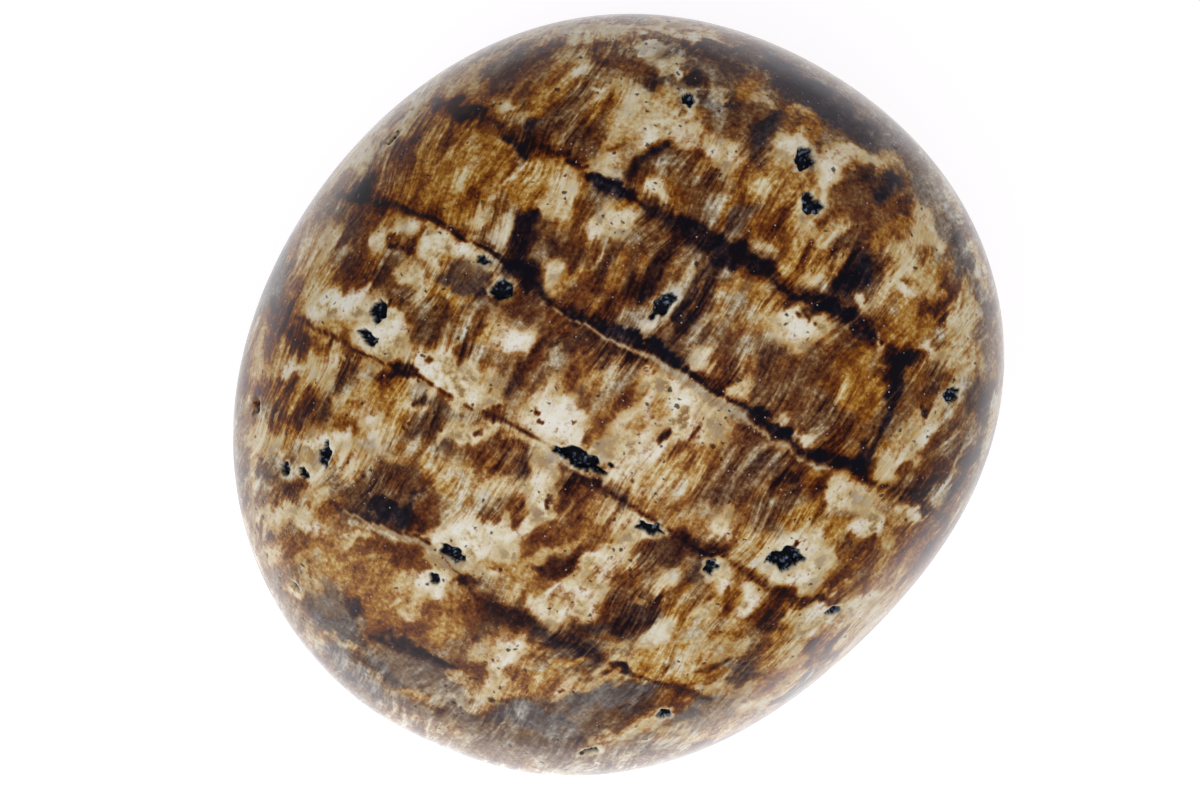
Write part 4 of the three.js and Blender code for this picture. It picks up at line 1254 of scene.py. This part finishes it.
# how far they darken the stone, and how far they warm it
MOTTLE_TONE, GRAIN_TONE, STREAK_TONE, FINE_STREAK_TONE = 0.70, 0.66, 1.35, 0.78
STAIN_HUE, MOTTLE_HUE, STREAK_HUE = 2.3, 1.1, 0.8
CONTRAST, LIGHTENING = 1.14, 0.06
tone_now = kept("tone") * CONTRAST - LIGHTENING + mottle * MOTTLE_TONE + grain * GRAIN_TONE
tone_now = tone_now + (streaks * STREAK_TONE + fine_streaks * FINE_STREAK_TONE) * fibrous
hue_stirred = stain * STAIN_HUE + mottle * MOTTLE_HUE + streaks * STREAK_HUE
hue_now = kept("hue") + hue_stirred * (1 - is_calm * CALM_HUE)
# chalk warms the stone, most of all where it covers it only in part
CHALK_WARMTH, WARMEST_COVER = 1.8, 0.725
hue_now = hue_now + is_chalk * (2 * WARMEST_COVER - is_chalk) * CHALK_WARMTH

# brown specks swarm in the chalk
SPECKS_PER_MM = (0.9, 2.0, 1.6)
SPECK_TONE, SPECK_HUE = 0.46, 1.0
scaled = finish.add("ShaderNodeMapping", {"vector_type": "POINT"}, {"Vector": turned, "Scale": SPECKS_PER_MM})
specks, speck_kind = strewn_grains(scaled, 1.0)
specked = specks.steps(0.30, 0.10) * speck_kind.steps(0.62, 0.80) * is_chalk * (swarm * 0.7 + 0.3)
tone_now = tone_now + specked * SPECK_TONE
hue_now = hue_now + specked * SPECK_HUE

plain = finish.add("ShaderNodeValToRGB", {"stops": PLAIN_STOPS}, [tone_now])
rusty = finish.add("ShaderNodeValToRGB", {"stops": RUSTY_STOPS}, [tone_now])
bluish = finish.add("ShaderNodeValToRGB", {"stops": BLUISH_STOPS}, [tone_now])
chalkiness = mottle * 2.1 + grain * 0.8 + stain * 1.4 + 0.55
chalky = finish.add("ShaderNodeValToRGB", {"stops": CHALK_STOPS}, [chalkiness])
body = finish.mix(hue_now.line(0.0, 1.0), plain, rusty)
body = finish.mix(hue_now.line(0.0, -1.0), body, bluish)
body = finish.mix(is_chalk * tone_now.steps(0.48, 0.16), body, chalky)

# pinholes of uneven shape and size, most of them where the chalk swarms with specks
PINHOLE_BROWN, PINHOLE_DEPTH = screen_colour(60, 28, 18), 0.88
PINHOLES_PER_MM = 2.3
JOLT = (0.36, 0.36, 0.36)
jolts = noise(in_mm, 3.4, 1.0, output="Color")
jolted = finish.add("ShaderNodeVectorMath", {"operation": "MULTIPLY_ADD"}, [jolts, JOLT, in_mm])
holes, hole_kind = strewn_grains(jolted, PINHOLES_PER_MM)
holed = (holes + hole_kind.other("Green") * 0.20).steps(0.38, 0.24)
holed = holed * (hole_kind + is_chalk * swarm * 0.60).steps(0.84, 0.90)
body = finish.mix(holed * PINHOLE_DEPTH, body, PINHOLE_BROWN)

# fine pale specks in the polish: partly dust, partly painted glints
DUST_AND_GLINT_GREY, DUST_AND_GLINT_COVER = screen_colour(222, 214, 208), 0.62
DUST_AND_GLINTS_PER_MM = 3.6
dust_and_glint_grains, dust_and_glint_kind = strewn_grains(in_mm, DUST_AND_GLINTS_PER_MM)
dust_and_glint_specks = dust_and_glint_grains.steps(0.22, 0.08) * dust_and_glint_kind.steps(0.80, 0.98)
body = finish.mix(dust_and_glint_specks * DUST_AND_GLINT_COVER, body, DUST_AND_GLINT_GREY)

# dark rough crystals in the pits, and a few pale blue ones whose colour is a painted glint
CRYSTAL_DARK, CRYSTAL_PAINTED_GLINT = screen_colour(13, 16, 26), screen_colour(104, 124, 150)
FACETS_PER_MM = 7.0
facet_kind = strewn_grains(in_mm, FACETS_PER_MM)[1]
crystal_and_glint = finish.mix(facet_kind.steps(0.74, 0.98), CRYSTAL_DARK, CRYSTAL_PAINTED_GLINT)
body = finish.mix(is_pit, body, crystal_and_glint)

# the polish: a clear coat everywhere but in the pits, over grain and pinholes that can just be felt
COAT = 0.4
RELIEF = 0.05 * MM
relief = {"Strength": 0.35, "Distance": RELIEF, "Height": grain * 0.5 - holed}
shell = finish.add("ShaderNodeBsdfPrincipled", {}, {
    "Base Color": body,
    "Roughness": is_pit * 0.60 + is_chalk * 0.10 + grain * 0.12 + 0.24,
    "IOR": 1.54,
    "Coat Weight": COAT - is_pit * COAT,
    "Coat Roughness": 0.16,
    "Normal": finish.add("ShaderNodeBump", {}, relief),
})
finish.add("ShaderNodeOutputMaterial", {}, {"Surface": shell})
stone.data.materials.append(polish)

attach(stone, "root")
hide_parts("pebble")


# The table. It is a pale glowing sheet, so the stone's rim mirrors white and throws next to no
# shade. It glows most below the stone in the picture, less above it, and hardly at all further out.
TABLE_WIDTH = 1.6
BELOW_AND_LEFT = (-0.26, -0.966, 0)
POOL_MIDDLE = (-0.005, -0.011, 0)
GLOW_BESIDE, GLOW_BELOW = (0.42, 0.415, 0.425, 1), (0.70, 0.70, 0.73, 1)
GLOW_ABOVE, GLOW_FURTHER_OUT = (0.30, 0.295, 0.32, 1), (0.05, 0.05, 0.055, 1)

bpy.ops.object.select_all(action="DESELECT")
bpy.ops.mesh.primitive_plane_add(size=TABLE_WIDTH, location=(0, 0, 0))
table = bpy.context.object
table.name = "table"
pale = bpy.data.materials.new("pale_table")
sheet = Finish(pale)
spot = sheet.add("ShaderNodeTexCoord", output="Object")
from_middle = sheet.add("ShaderNodeVectorMath", {"operation": "DISTANCE"}, [spot, POOL_MIDDLE], "Value")
below = sheet.add("ShaderNodeVectorMath", {"operation": "DOT_PRODUCT"}, [spot, BELOW_AND_LEFT], "Value")
above = sheet.add("ShaderNodeSeparateXYZ", {}, [spot]).other("Y")
lit = sheet.mix(below.steps(0.004, 0.034), GLOW_BESIDE, GLOW_BELOW)
lit = sheet.mix(above.steps(0.0235, 0.030), lit, GLOW_ABOVE)
lit = sheet.mix(from_middle.steps(0.047, 0.078), lit, GLOW_FURTHER_OUT)
glow = sheet.add("ShaderNodeBsdfPrincipled", {}, {
    "Base Color": (0.30, 0.30, 0.31, 1),
    "Roughness": 0.9,
    "Specular IOR Level": 0.0,
    "Emission Color": lit,
    "Emission Strength": 2.0,
})
sheet.add("ShaderNodeOutputMaterial", {}, {"Surface": glow})
table.data.materials.append(pale)


# The lights: three wide soft lamps that light the stone and aren't mirrored in it, and one faint
# softbox low at the lower left that is, and lays a haze of light along the stone's shoulder there.
WARM_WHITE, COOL_WHITE = (1.0, 0.99, 0.98), (0.94, 0.95, 1.0)


def softbox(name, bearing, elevation, distance, width, height, power, colour, mirrored):
    """A rectangular lamp that faces the stone's resting place. Lengths are in metres."""
    back = Vector(towards(bearing, elevation))
    lamp = bpy.data.lights.new(name, "AREA")
    lamp.shape = "RECTANGLE"
    lamp.size, lamp.size_y = width, height
    lamp.energy = power
    lamp.color = colour
    box = bpy.data.objects.new(name, lamp)
    bpy.context.collection.objects.link(box)
    box.location = back * distance
    box.rotation_mode = "QUATERNION"
    box.rotation_quaternion = back.to_track_quat("Z", "Y")
    box.visible_camera = False
    box.visible_glossy = mirrored


softbox("soft_lamp_above", 262, 77, 0.60, 0.60, 0.60, 2.25, WARM_WHITE, mirrored=False)
softbox("soft_lamp_right", 45, 30, 0.60, 0.60, 0.40, 1.15, WARM_WHITE, mirrored=False)
softbox("soft_lamp_left", 230, 30, 0.60, 0.60, 0.40, 1.2, WARM_WHITE, mirrored=False)
softbox("softbox_lower_left", 236, 10, 0.50, 0.60, 0.20, 0.16, COOL_WHITE, mirrored=True)

# the studio is dark overhead and less so along its walls
WALLS, OVERHEAD = 0.12, 0.04
studio = bpy.data.worlds.new("studio")
bpy.context.scene.world = studio
air = Finish(studio)
view = air.add("ShaderNodeTexCoord", output="Generated")
upness = air.add("ShaderNodeSeparateXYZ", {}, [view]).other("Z")
brightness = upness.steps(0.0, 0.75, WALLS, OVERHEAD)
light = air.add("ShaderNodeBackground", {}, {"Color": (*COOL_WHITE, 1), "Strength": brightness})
air.add("ShaderNodeOutputWorld", {}, {"Surface": light})

bpy.context.scene.view_settings.view_transform = "Standard"
